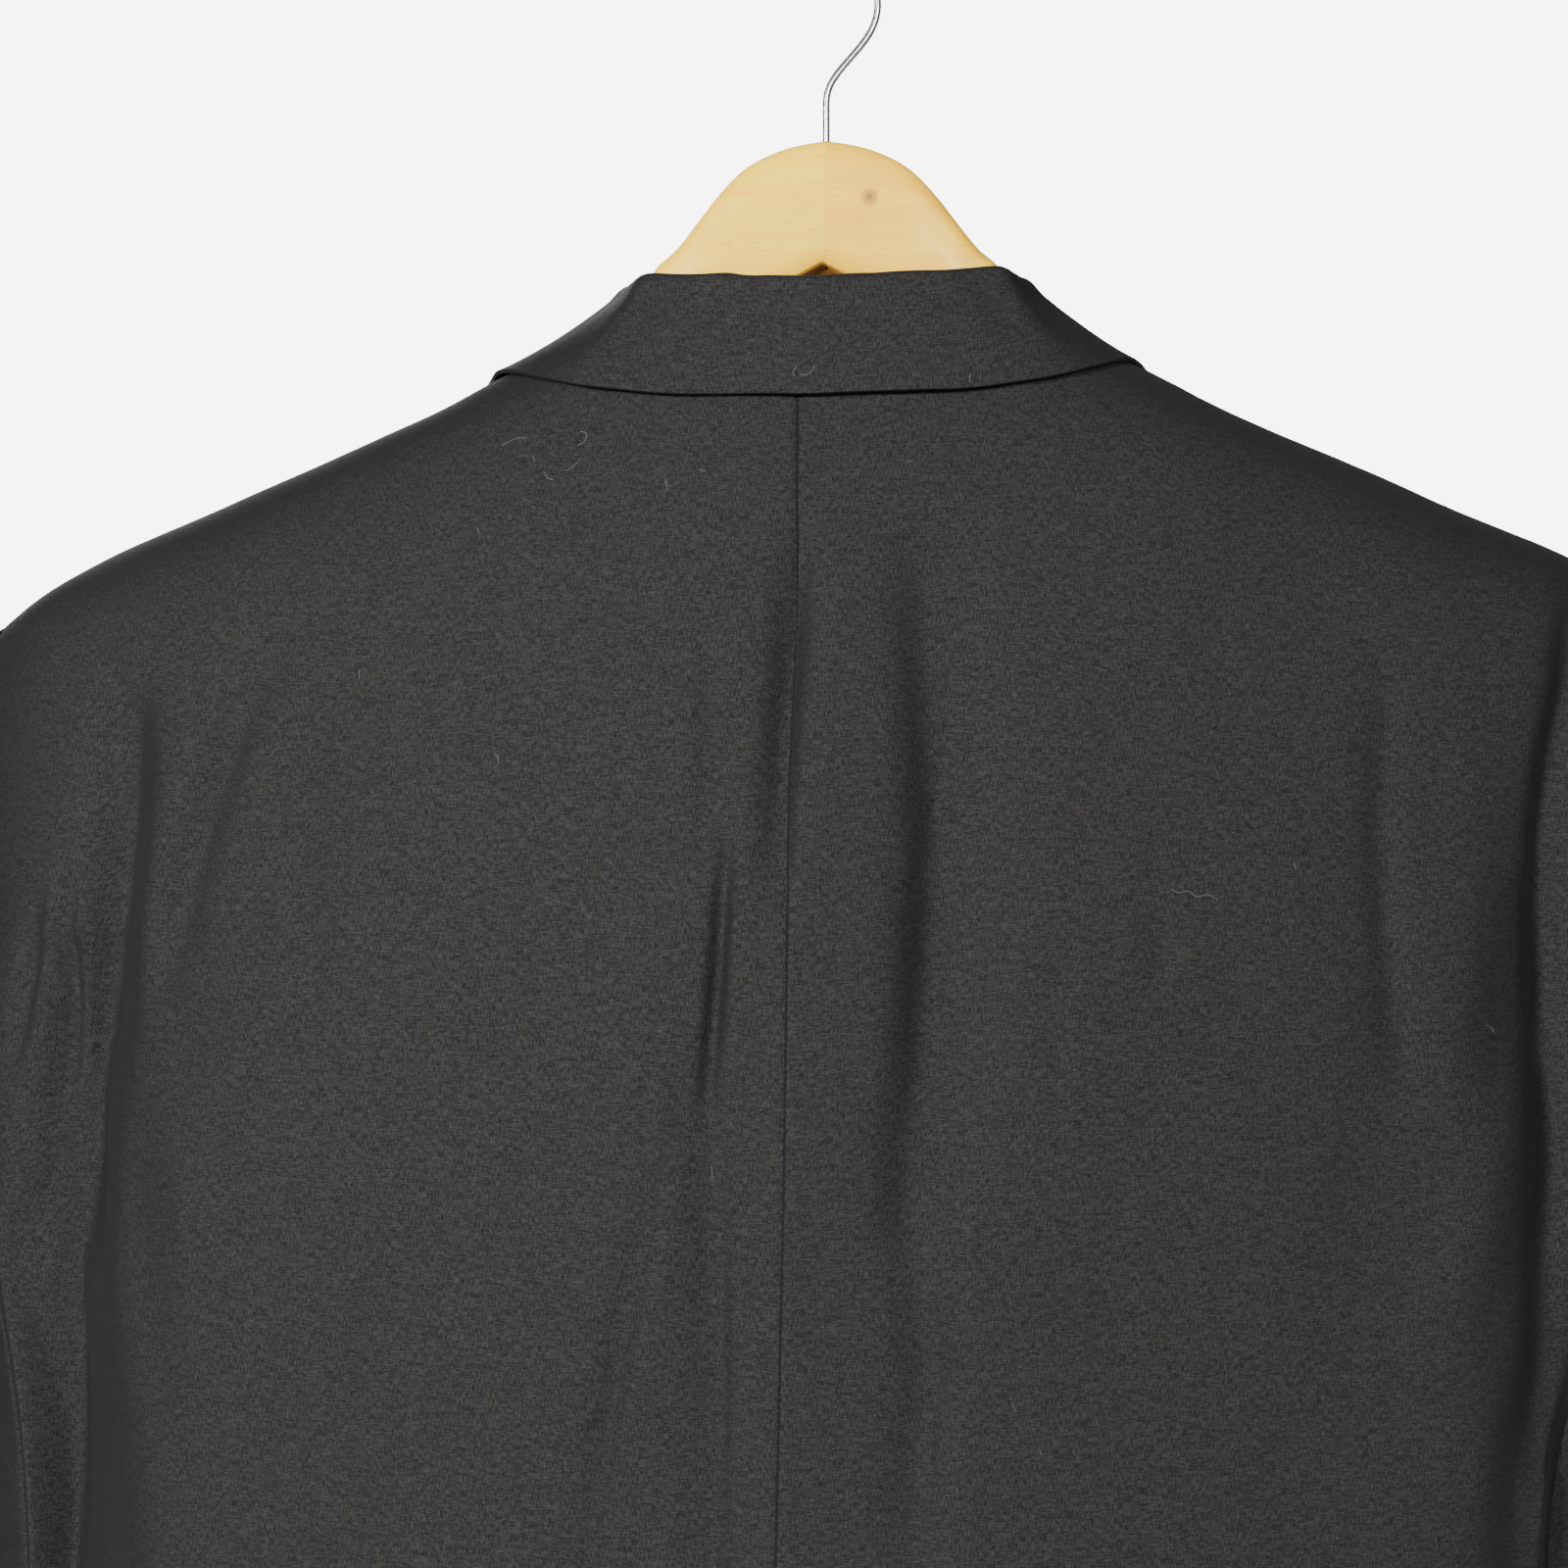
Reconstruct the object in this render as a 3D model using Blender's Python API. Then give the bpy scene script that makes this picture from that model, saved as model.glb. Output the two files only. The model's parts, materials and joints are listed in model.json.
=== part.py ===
"""A two-button sport coat of black plain-weave wool, hung on a contoured wooden hanger.

Metres, +Z up. The coat's front faces -Y and its left side lies towards +X. The origin is the top
of the inside of the hook's crook, where a rail carries the hanger.
"""

import math
from collections import namedtuple

import bmesh
import bpy
import numpy as np
from mathutils import Quaternion, Vector
from mathutils.bvhtree import BVHTree

# Cloth and seams
CLOTH = 0.0016
SEAM_GAP = 0.0004
LAYER_GAP = 0.0009
LAP_STEP = CLOTH + 0.0009

# Heights of the coat, measured down from the rail
HEM = -0.960
SHOULDER_POINT = -0.254
NECK_POINT = -0.1415
BACK_NECK = -0.160
SIDE_SEAM_TOP = -0.440
UNDERARM_DIP = 0.028
GORGE_START = -0.1925
LAPEL_HEAD = -0.1985
LAPEL_BREAK = -0.4174
CORNER_RADIUS = 0.080
CORNER_FULLNESS = 0.98

# Widths of the coat, each from its middle
SHOULDER_HALF = 0.332
NECK_HALF = 0.083
SEAM_OFFSET = 0.006
COLLAR_OFFSET = 0.005

# Where the left front stands out over the right one: fully up to the first distance, no more at the second
LAP_FADE = (0.030, 0.055)

# How the coat hangs: shoulders swept forward on the hanger, and the body a little out of plumb
SWEEP = 0.166
SWEEP_ROUND = 0.050
HANG_LEAN = 0.028
ROUNDNESS = 3.0

# The body's level sections, from the neck point down to the hem
Section = namedtuple("Section", "height half_width back_depth front_depth")
SECTIONS = (
    Section(-0.1415, 0.0830, 0.034, 0.034),
    Section(-0.1590, 0.1240, 0.037, 0.044),
    Section(-0.1725, 0.1510, 0.042, 0.050),
    Section(-0.1985, 0.2145, 0.050, 0.060),
    Section(-0.2155, 0.2550, 0.055, 0.066),
    Section(-0.2315, 0.2945, 0.059, 0.072),
    Section(-0.2540, 0.3320, 0.064, 0.078),
    Section(-0.2750, 0.3405, 0.068, 0.083),
    Section(-0.3100, 0.3460, 0.074, 0.090),
    Section(-0.3600, 0.3470, 0.081, 0.096),
    Section(-0.4600, 0.3430, 0.088, 0.099),
    Section(-0.6000, 0.3270, 0.090, 0.094),
    Section(-0.7200, 0.3310, 0.093, 0.095),
    Section(-0.8400, 0.3400, 0.096, 0.097),
    Section(-0.9600, 0.3460, 0.098, 0.099),
)

# Where the back and the front end towards the side, as shares of the half width
Edge = namedtuple("Edge", "height back_left back_right front")
EDGES = (
    Edge(-0.254, 1.000, 1.000, 1.000),
    Edge(-0.270, 0.978, 0.978, 0.965),
    Edge(-0.300, 0.963, 0.963, 0.940),
    Edge(-0.350, 0.955, 0.955, 0.925),
    Edge(-0.400, 0.953, 0.953, 0.928),
    Edge(-0.440, 0.950, 0.945, 0.945),
    Edge(-0.520, 0.926, 0.893, 0.940),
    Edge(-0.567, 0.916, 0.868, 0.935),
    Edge(-0.605, 0.905, 0.862, 0.930),
    Edge(-0.720, 0.885, 0.862, 0.925),
    Edge(-0.960, 0.875, 0.865, 0.925),
)

# The front's inner edge: neck, roll line, and front edge below the break
InnerEdge = namedtuple("InnerEdge", "height x")
INNER_EDGE = (
    InnerEdge(-0.1415, 0.0830),
    InnerEdge(-0.1550, 0.0780),
    InnerEdge(-0.1750, 0.0700),
    InnerEdge(-0.1925, 0.0640),
    InnerEdge(-0.3300, 0.0260),
    InnerEdge(-0.4450, -0.0060),
    InnerEdge(-0.4800, -0.0140),
    InnerEdge(-0.5600, -0.0150),
    InnerEdge(-0.7500, -0.0130),
    InnerEdge(-0.8600, -0.0060),
    InnerEdge(-0.9600, 0.0060),
)

# The largest folds: soft troughs that run down the cloth, on the back or on the front.
# One that fades away at both ends takes the first share of its length for each, one that runs
# out at the hem takes the second share at its top.
FOLD_FADE = (0.25, 0.40)
Fold = namedtuple("Fold", "facing x_top z_top x_bottom z_bottom half_width depth")
BACK, FRONT = 1, -1
FOLDS = (
    Fold(BACK, 0.252, -0.285, 0.262, -0.900, 0.020, 0.0080),
    Fold(BACK, -0.270, -0.270, -0.272, -0.800, 0.020, 0.0085),
    Fold(BACK, 0.186, -0.255, 0.229, -0.420, 0.022, 0.0030),
    Fold(BACK, -0.208, -0.280, -0.218, -0.520, 0.024, 0.0030),
    Fold(BACK, -0.040, -0.225, -0.032, -0.720, 0.022, 0.0045),
    Fold(BACK, 0.026, -0.330, 0.028, -0.760, 0.016, 0.0040),
    Fold(BACK, 0.050, -0.470, 0.080, -0.860, 0.020, 0.0035),
    Fold(FRONT, 0.268, -0.300, 0.262, -0.640, 0.022, 0.0070),
    Fold(FRONT, -0.272, -0.290, -0.258, -0.600, 0.022, 0.0075),
    Fold(FRONT, 0.085, -0.640, 0.104, -0.960, 0.024, 0.0050),
    Fold(FRONT, -0.092, -0.600, -0.118, -0.960, 0.024, 0.0050),
    Fold(FRONT, 0.222, -0.790, 0.236, -0.960, 0.024, 0.0040),
    Fold(FRONT, -0.226, -0.800, -0.232, -0.960, 0.024, 0.0040),
)

# Rows and columns of the panels
HEM_RISES = (0.0, 0.006, 0.020, 0.046, 0.082)
SEAM_ROWS = 7
SIDE_ROWS = len(HEM_RISES) + SEAM_ROWS
ARMHOLE_HEIGHTS = (-0.400, -0.360, -0.325, -0.298, -0.278, -0.264, -0.2565, -0.254)
NECK_SHARES = (0.0, 0.35, 0.65, 0.88)
SHOULDER_COLUMNS = 11
SIDE_COLUMNS = 6

# The collar, from the centre back round to the gorge: the stand's height and lean, and the fall's edge
Collar = namedtuple("Collar", "along rise lean_in edge_x edge_y edge_z sag")
COLLAR = (
    Collar(0.00, 0.0272, 0.0050, 0.000, 0.045, -0.1752, 0.000),
    Collar(0.18, 0.0258, 0.0055, 0.046, 0.042, -0.1748, 0.000),
    Collar(0.35, 0.0226, 0.0070, 0.085, 0.030, -0.1710, 0.001),
    Collar(0.50, 0.0186, 0.0085, 0.112, 0.010, -0.1645, 0.002),
    Collar(0.60, 0.0170, 0.0095, 0.125, -0.014, -0.1620, 0.003),
    Collar(0.75, 0.0140, 0.0080, 0.135, -0.045, -0.1710, 0.002),
    Collar(0.88, 0.0090, 0.0050, 0.137, -0.068, -0.1870, 0.001),
    Collar(1.00, 0.0040, 0.0030, 0.129, -0.083, -0.2030, 0.000),
)
# From this share of its length on, the collar runs out towards the gorge
COLLAR_GORGE = 0.80
FALL_ROWS = (0.18, 0.36, 0.55, 0.78, 1.00)
FALL_NOTCH_ROW = 0.55
COLLAR_STEP = 0.013
STAND_GAP = 0.0008
FALL_CLEAR = CLOTH + 0.0022
FOLD_TURN = (0.0008, 0.0036)
NECK_CENTRE = Vector((0.0, -0.010, 0.0))
INSIDE_COLLAR = Vector((0.0, 0.0, -0.150))
NOTCH = (0.104, -0.219)
LAPEL_TIP = (0.150, -0.232)
LAPEL_FOOT = (0.024, -0.430)
LAPEL_BELLY = 0.014
LAPEL_ROLL = 0.0030
LAPEL_ROLL_SHARE = 0.80
LAPEL_GORGE = 0.80
LAPEL_ROWS = 9
LAPEL_COLUMNS = (0.0, 0.15, 0.31, 0.47, 0.65, 0.82, 1.0)
LAPEL_NOTCH_COLUMN = 0.47
GORGE_GAP = 0.0006

# The sleeve's rings from armhole to cuff, on the outer and the inner line
Ring = namedtuple("Ring", "outer_x outer_z inner_x inner_z half_depth forward")
SLEEVE_RINGS = (
    Ring(0.3500, -0.2660, 0.3480, -0.4715, 0.074, 0.050),
    Ring(0.3680, -0.2890, 0.3495, -0.4770, 0.082, 0.046),
    Ring(0.3820, -0.3240, 0.3500, -0.4850, 0.088, 0.042),
    Ring(0.3920, -0.3760, 0.3495, -0.4960, 0.092, 0.040),
    Ring(0.3990, -0.4420, 0.3480, -0.5160, 0.094, 0.040),
    Ring(0.4030, -0.5200, 0.3440, -0.5560, 0.093, 0.044),
    Ring(0.4040, -0.6000, 0.3390, -0.6200, 0.089, 0.052),
    Ring(0.4030, -0.6800, 0.3380, -0.6920, 0.083, 0.064),
    Ring(0.4020, -0.7600, 0.3420, -0.7680, 0.077, 0.080),
    Ring(0.4020, -0.8350, 0.3480, -0.8400, 0.070, 0.098),
    Ring(0.4030, -0.9050, 0.3530, -0.9080, 0.064, 0.114),
)
SLEEVE_SEAM_BACK = 7
SLEEVE_SEAM_FRONT = 7
INSIDE_SLEEVE = Vector((0.39, -0.05, -0.60))

# Pockets and buttons
FLAP_CENTRE = (0.200, -0.700)
FLAP_SIZE = (0.155, 0.055)
FLAP_TILT = 0.010
WELT_CENTRE = (0.190, -0.372)
WELT_SIZE = (0.110, 0.024)
WELT_TILT = -0.014
POCKET_COLUMNS = 6
POCKET_ROWS = 2
BUTTON_HEIGHTS = (-0.455, -0.560)
FRONT_BUTTON = 0.020
CUFF_BUTTON = 0.015
CUFF_BUTTONS = 4
CUFF_BUTTON_PITCH = 0.018
CUFF_BUTTON_START = 0.030
CUFF_BUTTON_FROM_SEAM = 0.75
BUTTON_SEAT = 0.0003
BUTTON_REACH = 0.010
FRONT_BUTTON_STEPS = 16
CUFF_BUTTON_STEPS = 12
BUTTON_SPOKES = 16

# A button's outline from the middle of its back over the rim to the middle of its face,
# as shares of its radius
Turning = namedtuple("Turning", "out up")
BUTTON_OUTLINE = (
    Turning(0.00, 0.00),
    Turning(0.80, 0.00),
    Turning(1.00, 0.16),
    Turning(0.92, 0.34),
    Turning(0.66, 0.24),
    Turning(0.00, 0.24),
)

# The hanger
CROOK_RADIUS = 0.0198
WIRE_RADIUS = 0.0014
CROOK_START = math.radians(183)
CROOK_END = math.radians(18)
CROOK_STEPS = 18
WOOD_TOP = -0.0716
WIRE_SEAT = 0.0004
WOOD_FOOT = -0.1185
WOOD_FOOT_SLOPE = 0.50
WOOD_END = 0.2150
WOOD_SIDES = 12
WOOD_SQUARENESS = 0.6
SEAT_DROP = 0.0032
HangerSection = namedtuple("HangerSection", "x top half_thickness")
NECK_OF_HANGER = (
    HangerSection(0.0002, -0.0716, 0.0070),
    HangerSection(0.0180, -0.0752, 0.0072),
    HangerSection(0.0310, -0.0815, 0.0075),
    HangerSection(0.0410, -0.0910, 0.0078),
    HangerSection(0.0510, -0.1035, 0.0082),
    HangerSection(0.0590, -0.1130, 0.0080),
    HangerSection(0.0660, -0.1190, 0.0080),
    HangerSection(0.0695, -0.1270, 0.0080),
    HangerSection(0.0740, -0.1400, 0.0075),
    HangerSection(0.0800, -0.1452, 0.0075),
)
ARM_SECTIONS = 9
ARM_START = NECK_HALF + 0.003
ARM_HALF_THICKNESS = (0.0100, 0.0185)

# The wire's shank above the wood, which bends over to the foot of the crook
Wire = namedtuple("Wire", "x z")
SHANK = (
    Wire(0.0000, WOOD_TOP + WIRE_SEAT),
    Wire(0.0000, -0.0620),
    Wire(0.0000, -0.0555),
    Wire(-0.0006, -0.0515),
    Wire(-0.0024, -0.0475),
    Wire(-0.0072, -0.0412),
    Wire(-0.0128, -0.0348),
    Wire(-0.0168, -0.0292),
    Wire(-0.0190, -0.0240),
)


def clear_scene():
    for thing in list(bpy.data.objects):
        bpy.data.objects.remove(thing)


def make_material(name, colour, roughness, metallic=0.0):
    material = bpy.data.materials.new(name)
    material.use_nodes = True
    shader = material.node_tree.nodes["Principled BSDF"]
    shader.inputs["Base Color"].default_value = (*colour, 1.0)
    shader.inputs["Roughness"].default_value = roughness
    shader.inputs["Metallic"].default_value = metallic
    return material


def curve(places, values, at):
    """A smooth curve through the points, which never swings past them."""
    order = np.argsort(places)
    xs = np.asarray(places, float)[order]
    ys = np.asarray(values, float)[order]
    steps = np.diff(xs)
    slopes = np.diff(ys) / steps
    before, after = slopes[:-1], slopes[1:]
    same_way = before * after > 0
    total = np.where(same_way, before + after, 1.0)
    inner = np.where(same_way, 2 * before * after / total, 0.0)
    tangents = np.concatenate([[slopes[0]], inner, [slopes[-1]]])
    i = int(np.clip(np.searchsorted(xs, at) - 1, 0, len(steps) - 1))
    t = (at - xs[i]) / steps[i]
    if t < 0 or t > 1:
        end = 0 if t < 0 else -1
        return float(ys[end] + tangents[end] * (at - xs[end]))
    rise = ys[i + 1] - ys[i]
    ease = t * t * (3 - 2 * t)
    bend_in = t * (1 - t) ** 2 * steps[i] * tangents[i]
    bend_out = t * t * (1 - t) * steps[i] * tangents[i + 1]
    return float(ys[i] + rise * ease + bend_in - bend_out)


def column(rows, name, key, at):
    """One named column of a table, read at a value of its key column."""
    return curve([getattr(row, key) for row in rows], [getattr(row, name) for row in rows], at)


def lerp(a, b, t):
    return a + (b - a) * t


def ease(t):
    t = min(max(t, 0.0), 1.0)
    return t * t * (3 - 2 * t)


def half_width(z):
    return column(SECTIONS, "half_width", "height", z)


def depth(z, facing):
    return column(SECTIONS, "back_depth" if facing == BACK else "front_depth", "height", z)


def ridge_height(x):
    """Height of the shoulder line at a distance from the middle."""
    low, high = SHOULDER_POINT, NECK_POINT
    for _ in range(40):
        middle = (low + high) / 2
        if half_width(middle) > abs(x):
            low = middle
        else:
            high = middle
    return (low + high) / 2


def sweep(x):
    """How far forward the hanger carries the coat at a distance from the middle."""
    return SWEEP * (math.hypot(x, SWEEP_ROUND) - SWEEP_ROUND)


def lean(z):
    return HANG_LEAN * max(0.0, SHOULDER_POINT - z)


def form_y(x, z, facing):
    """The smooth body form, before it is swept and leant."""
    ratio = min(abs(x) / half_width(z), 1.0)
    return facing * depth(z, facing) * (1 - ratio**ROUNDNESS) ** (1 / ROUNDNESS)


def form_x(y, z):
    """Half width of the body form at a depth, for the side panels."""
    ratio = min(abs(y) / depth(z, BACK if y >= 0 else FRONT), 1.0)
    return half_width(z) * (1 - ratio**ROUNDNESS) ** (1 / ROUNDNESS)


def fullness(x, y, z):
    """Below 1 inside the body form, 1 on it and above 1 outside."""
    facing = BACK if y >= 0 else FRONT
    across = abs(x) / half_width(z)
    through = abs(y) / depth(z, facing)
    return (across**ROUNDNESS + through**ROUNDNESS) ** (1 / ROUNDNESS)


def outward(x, y, z):
    step = 0.0005
    return Vector((
        fullness(x + step, y, z) - fullness(x - step, y, z),
        fullness(x, y + step, z) - fullness(x, y - step, z),
        fullness(x, y, z + step) - fullness(x, y, z - step),
    )).normalized()


def fold_shift(x, y, z):
    """Depth of the troughs at a point of the body, always inwards."""
    total = 0.0
    facing = BACK if y >= 0 else FRONT
    for fold in FOLDS:
        if fold.facing != facing:
            continue
        along = (fold.z_top - z) / (fold.z_top - fold.z_bottom)
        if fold.z_bottom > HEM:
            fade = ease(along / FOLD_FADE[0]) * ease((1 - along) / FOLD_FADE[0])
        else:
            fade = ease(along / FOLD_FADE[1])
        middle = lerp(fold.x_top, fold.x_bottom, ease(along))
        across = (x - middle) / fold.half_width
        total += fold.depth * fade * math.exp(-across * across)
    return total


def hang(x, y, z):
    """A point of the body form, swept forward and leant as it hangs."""
    return Vector((x + lean(z), y - sweep(x), z))


# A point of a cloth's outer face, and the way out of the cloth there
Spot = namedtuple("Spot", "point normal")


def body_spot(x, y, z, lift=0.0):
    """A spot of the hung cloth, with its troughs, moved out by a lift."""
    normal = outward(x, y, z)
    moved = Vector((x, y, z)) + normal * (lift - fold_shift(x, y, z))
    turn = SWEEP * x / math.hypot(x, SWEEP_ROUND)
    swept = Vector((normal.x + normal.y * turn, normal.y, normal.z)).normalized()
    return Spot(hang(*moved), swept)


def above_form(x, y, z, clearance):
    """The point near x, y, z that stands clear of the unfolded body form."""
    point = Vector((x, y, z))
    for _ in range(6):
        normal = outward(*point)
        step = 0.0005
        ahead = fullness(*(point + normal * step))
        here = fullness(*point)
        point += normal * ((1 - here) / max((ahead - here) / step, 1e-6))
    return point + outward(*point) * clearance


def held_off(point, clearance):
    """A hung point, moved out where it would come closer to the body form than the clearance."""
    x, y, z = point.x, point.y + sweep(point.x), point.z
    on_form = above_form(x, y, z, 0.0)
    distance = (Vector((x, y, z)) - on_form).dot(outward(*on_form))
    return point if distance >= clearance else hang(*above_form(x, y, z, clearance))


def bent(start, corner, end, corner_share, share):
    """A point of a line that turns at a corner."""
    if share <= corner_share:
        return start.lerp(corner, share / corner_share)
    return corner.lerp(end, (share - corner_share) / (1 - corner_share))


def edge_heights():
    """Heights of the rows along a side edge, from the hem up to the shoulder point."""
    first = HEM + HEM_RISES[-1]
    seam = [HEM + rise for rise in HEM_RISES[:-1]]
    seam += [lerp(first, SIDE_SEAM_TOP, row / SEAM_ROWS) for row in range(SEAM_ROWS + 1)]
    return seam + list(ARMHOLE_HEIGHTS)


def edge_x(z, name):
    return half_width(z) * column(EDGES, name, "height", z)


def back_neck_height(x):
    share = min(abs(x) / NECK_HALF, 1.0)
    return lerp(BACK_NECK, NECK_POINT, share**2)


def neck_and_shoulder_columns():
    neck = [NECK_HALF * share for share in NECK_SHARES]
    steps = range(SHOULDER_COLUMNS + 1)
    return neck + [lerp(NECK_HALF, SHOULDER_HALF, i / SHOULDER_COLUMNS) for i in steps]


def back_edge(side):
    return "back_left" if side > 0 else "back_right"


def back_spots(side):
    """Outer face of one half of the back, row by row from the hem to the neck and shoulder."""
    rows = []
    for z_edge in edge_heights():
        up = (z_edge - HEM) / (SHOULDER_POINT - HEM)
        row = []
        for x_top in neck_and_shoulder_columns():
            share = x_top / SHOULDER_HALF
            top = ridge_height(x_top) if x_top >= NECK_HALF else back_neck_height(x_top)
            z = lerp(HEM, top, up)
            from_middle = share * edge_x(z_edge, back_edge(side))
            x = side * from_middle + SEAM_OFFSET * max(0.0, 1 - x_top / NECK_HALF)
            row.append(body_spot(x, form_y(x, z, BACK), z))
        rows.append(row)
    return rows


def lap(x, side):
    """How far the left front stands out where it laps over the right one."""
    near, far = LAP_FADE
    return LAP_STEP * ease((far - x) / (far - near)) if side > 0 else 0.0


def front_edge_round(z):
    """How far the rounded corner draws the front edge back, near the hem."""
    down = min(max((HEM + CORNER_RADIUS - z) / CORNER_RADIUS, 0.0), 1.0)
    return CORNER_RADIUS * (1 - math.sqrt(1 - CORNER_FULLNESS * down * down))


def front_spots(side):
    """Outer face of one front, row by row from the hem to the shoulder."""
    rows = []
    for z_edge in edge_heights():
        up = (z_edge - HEM) / (SHOULDER_POINT - HEM)
        row = []
        for i in range(SHOULDER_COLUMNS + 1):
            share = i / SHOULDER_COLUMNS
            x_top = lerp(NECK_HALF, SHOULDER_HALF, share)
            z = lerp(HEM, ridge_height(x_top), up)
            z_inner = lerp(HEM, NECK_POINT, up)
            inner = column(INNER_EDGE, "x", "height", z_inner) + front_edge_round(z_inner)
            x = lerp(inner, edge_x(z_edge, "front"), share)
            row.append(body_spot(side * x, form_y(x, z, FRONT), z, lap(x, side)))
        rows.append(row)
    return rows


def side_spots(side):
    """Outer face of one side panel, from the back seam round to the front seam."""
    rows = []
    for z_edge in edge_heights()[:SIDE_ROWS]:
        up = (z_edge - HEM) / (SIDE_SEAM_TOP - HEM)
        back_y = form_y(edge_x(z_edge, back_edge(side)), z_edge, BACK)
        front_y = form_y(edge_x(z_edge, "front"), z_edge, FRONT)
        row = []
        for i in range(SIDE_COLUMNS + 1):
            share = i / SIDE_COLUMNS
            y = lerp(back_y, front_y, share)
            z = z_edge - UNDERARM_DIP * math.sin(math.pi * share) * up**3
            x = edge_x(z, back_edge(side)) if i == 0 else form_x(y, z)
            row.append(body_spot(side * x, y, z))
        rows.append(row)
    return rows


def drawn_in(rows, amount, sides="lrbt"):
    """The grid with its named borders pulled back along the cloth, to leave a seam gap."""
    grid = [list(row) for row in rows]

    def pulled(spot, neighbour):
        step = (neighbour.point - spot.point).normalized() * amount
        return Spot(spot.point + step, spot.normal)

    if "l" in sides:
        for row in grid:
            row[0] = pulled(row[0], row[1])
    if "r" in sides:
        for row in grid:
            row[-1] = pulled(row[-1], row[-2])
    if "b" in sides:
        grid[0] = [pulled(a, b) for a, b in zip(grid[0], grid[1])]
    if "t" in sides:
        grid[-1] = [pulled(a, b) for a, b in zip(grid[-1], grid[-2])]
    return grid


def with_normals(rows, inside, closed=False):
    """Spots from plain points, each with the way out worked out from its neighbours."""
    last_row, last = len(rows) - 1, len(rows[0]) - 1
    spots = []
    for r, row in enumerate(rows):
        below, above = rows[max(r - 1, 0)], rows[min(r + 1, last_row)]
        spot_row = []
        for c, point in enumerate(row):
            before = row[c - 1] if closed else row[max(c - 1, 0)]
            after = row[(c + 1) % len(row)] if closed else row[min(c + 1, last)]
            normal = (after - before).cross(above[c] - below[c]).normalized()
            spot_row.append(Spot(point, normal))
        spots.append(spot_row)
    probe = spots[last_row // 2][last // 2]
    if probe.normal.dot(probe.point - inside) < 0:
        spots = [[Spot(spot.point, -spot.normal) for spot in row] for row in spots]
    return spots


def cloth(name, rows, material, thickness=CLOTH):
    """A wall of cloth: a grid of spots on its outer face, thickened inwards."""
    columns = len(rows[0])
    shape = bmesh.new()
    bmesh.ops.create_grid(shape, x_segments=columns - 1, y_segments=len(rows) - 1, size=1.0)
    place = shape.verts.layers.int.new("place")
    for index, vert in enumerate(shape.verts):
        vert.co = rows[index // columns][index % columns].point
        vert[place] = index
    made = bmesh.ops.extrude_face_region(shape, geom=shape.faces[:], use_keep_orig=True)
    for vert in made["geom"]:
        if isinstance(vert, bmesh.types.BMVert):
            vert.co -= rows[vert[place] // columns][vert[place] % columns].normal * thickness
    bmesh.ops.recalc_face_normals(shape, faces=shape.faces[:])
    mesh = bpy.data.meshes.new(name)
    shape.to_mesh(mesh)
    shape.free()
    mesh.shade_smooth()
    mesh.set_sharp_from_angle(angle=math.radians(60))
    mesh.materials.append(material)
    piece = bpy.data.objects.new(name, mesh)
    bpy.context.scene.collection.objects.link(piece)
    return piece


def make_body(wool):
    """Back, side panels and fronts. Returns each panel's points for the pieces that follow."""
    panels = {}
    for side, word in ((1, "left"), (-1, "right")):
        for name, spots in (
            (f"back_{word}", back_spots(side)),
            (f"side_{word}", side_spots(side)),
            (f"front_{word}", front_spots(side)),
        ):
            panels[name] = [[spot.point for spot in row] for row in spots]
            cloth(name, drawn_in(spots, SEAM_GAP / 2), wool)
    return panels


def split_long(line, longest):
    """The same line with points added along its longer stretches."""
    points = line[:1]
    for start, end in zip(line, line[1:]):
        pieces = math.ceil((end - start).length / longest)
        points += [start.lerp(end, (i + 1) / pieces) for i in range(pieces)]
    return points


def neck_line(panels):
    """The neck seam from the right gorge round the back to the left gorge."""
    halves = []
    for word in ("left", "right"):
        front = [row[0] for row in panels[f"front_{word}"]]
        start = min(range(len(front)), key=lambda i: abs(front[i].z - GORGE_START))
        back = panels[f"back_{word}"][-1][: len(NECK_SHARES) + 1]
        halves.append(back + front[start:-1][::-1])
    left, right = halves
    return split_long(right[:0:-1] + left, COLLAR_STEP)


def collar_rise(seam, i, shape):
    """The way up the stand and the way out of it at one point of the neck seam, and its height."""
    away = ((seam[i] - NECK_CENTRE) * Vector((1, 1, 0))).normalized()
    line = (seam[min(i + 1, len(seam) - 1)] - seam[max(i - 1, 0)]).normalized()
    rise = Vector((0, 0, shape.rise)) - away * shape.lean_in
    up = (rise - line * rise.dot(line)).normalized()
    out = line.cross(up).normalized()
    if out.dot(away) < 0:
        out.negate()
    return up, out, rise.length


def fall_edge(side, along, shape):
    """The fall's outer edge, which sits a little off the middle and evens out at the gorge."""
    x = side * shape.edge_x + COLLAR_OFFSET * (1 - ease((along - COLLAR_GORGE) / (1 - COLLAR_GORGE)))
    return hang(*above_form(x, shape.edge_y + sweep(x), shape.edge_z, FALL_CLEAR))


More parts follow.
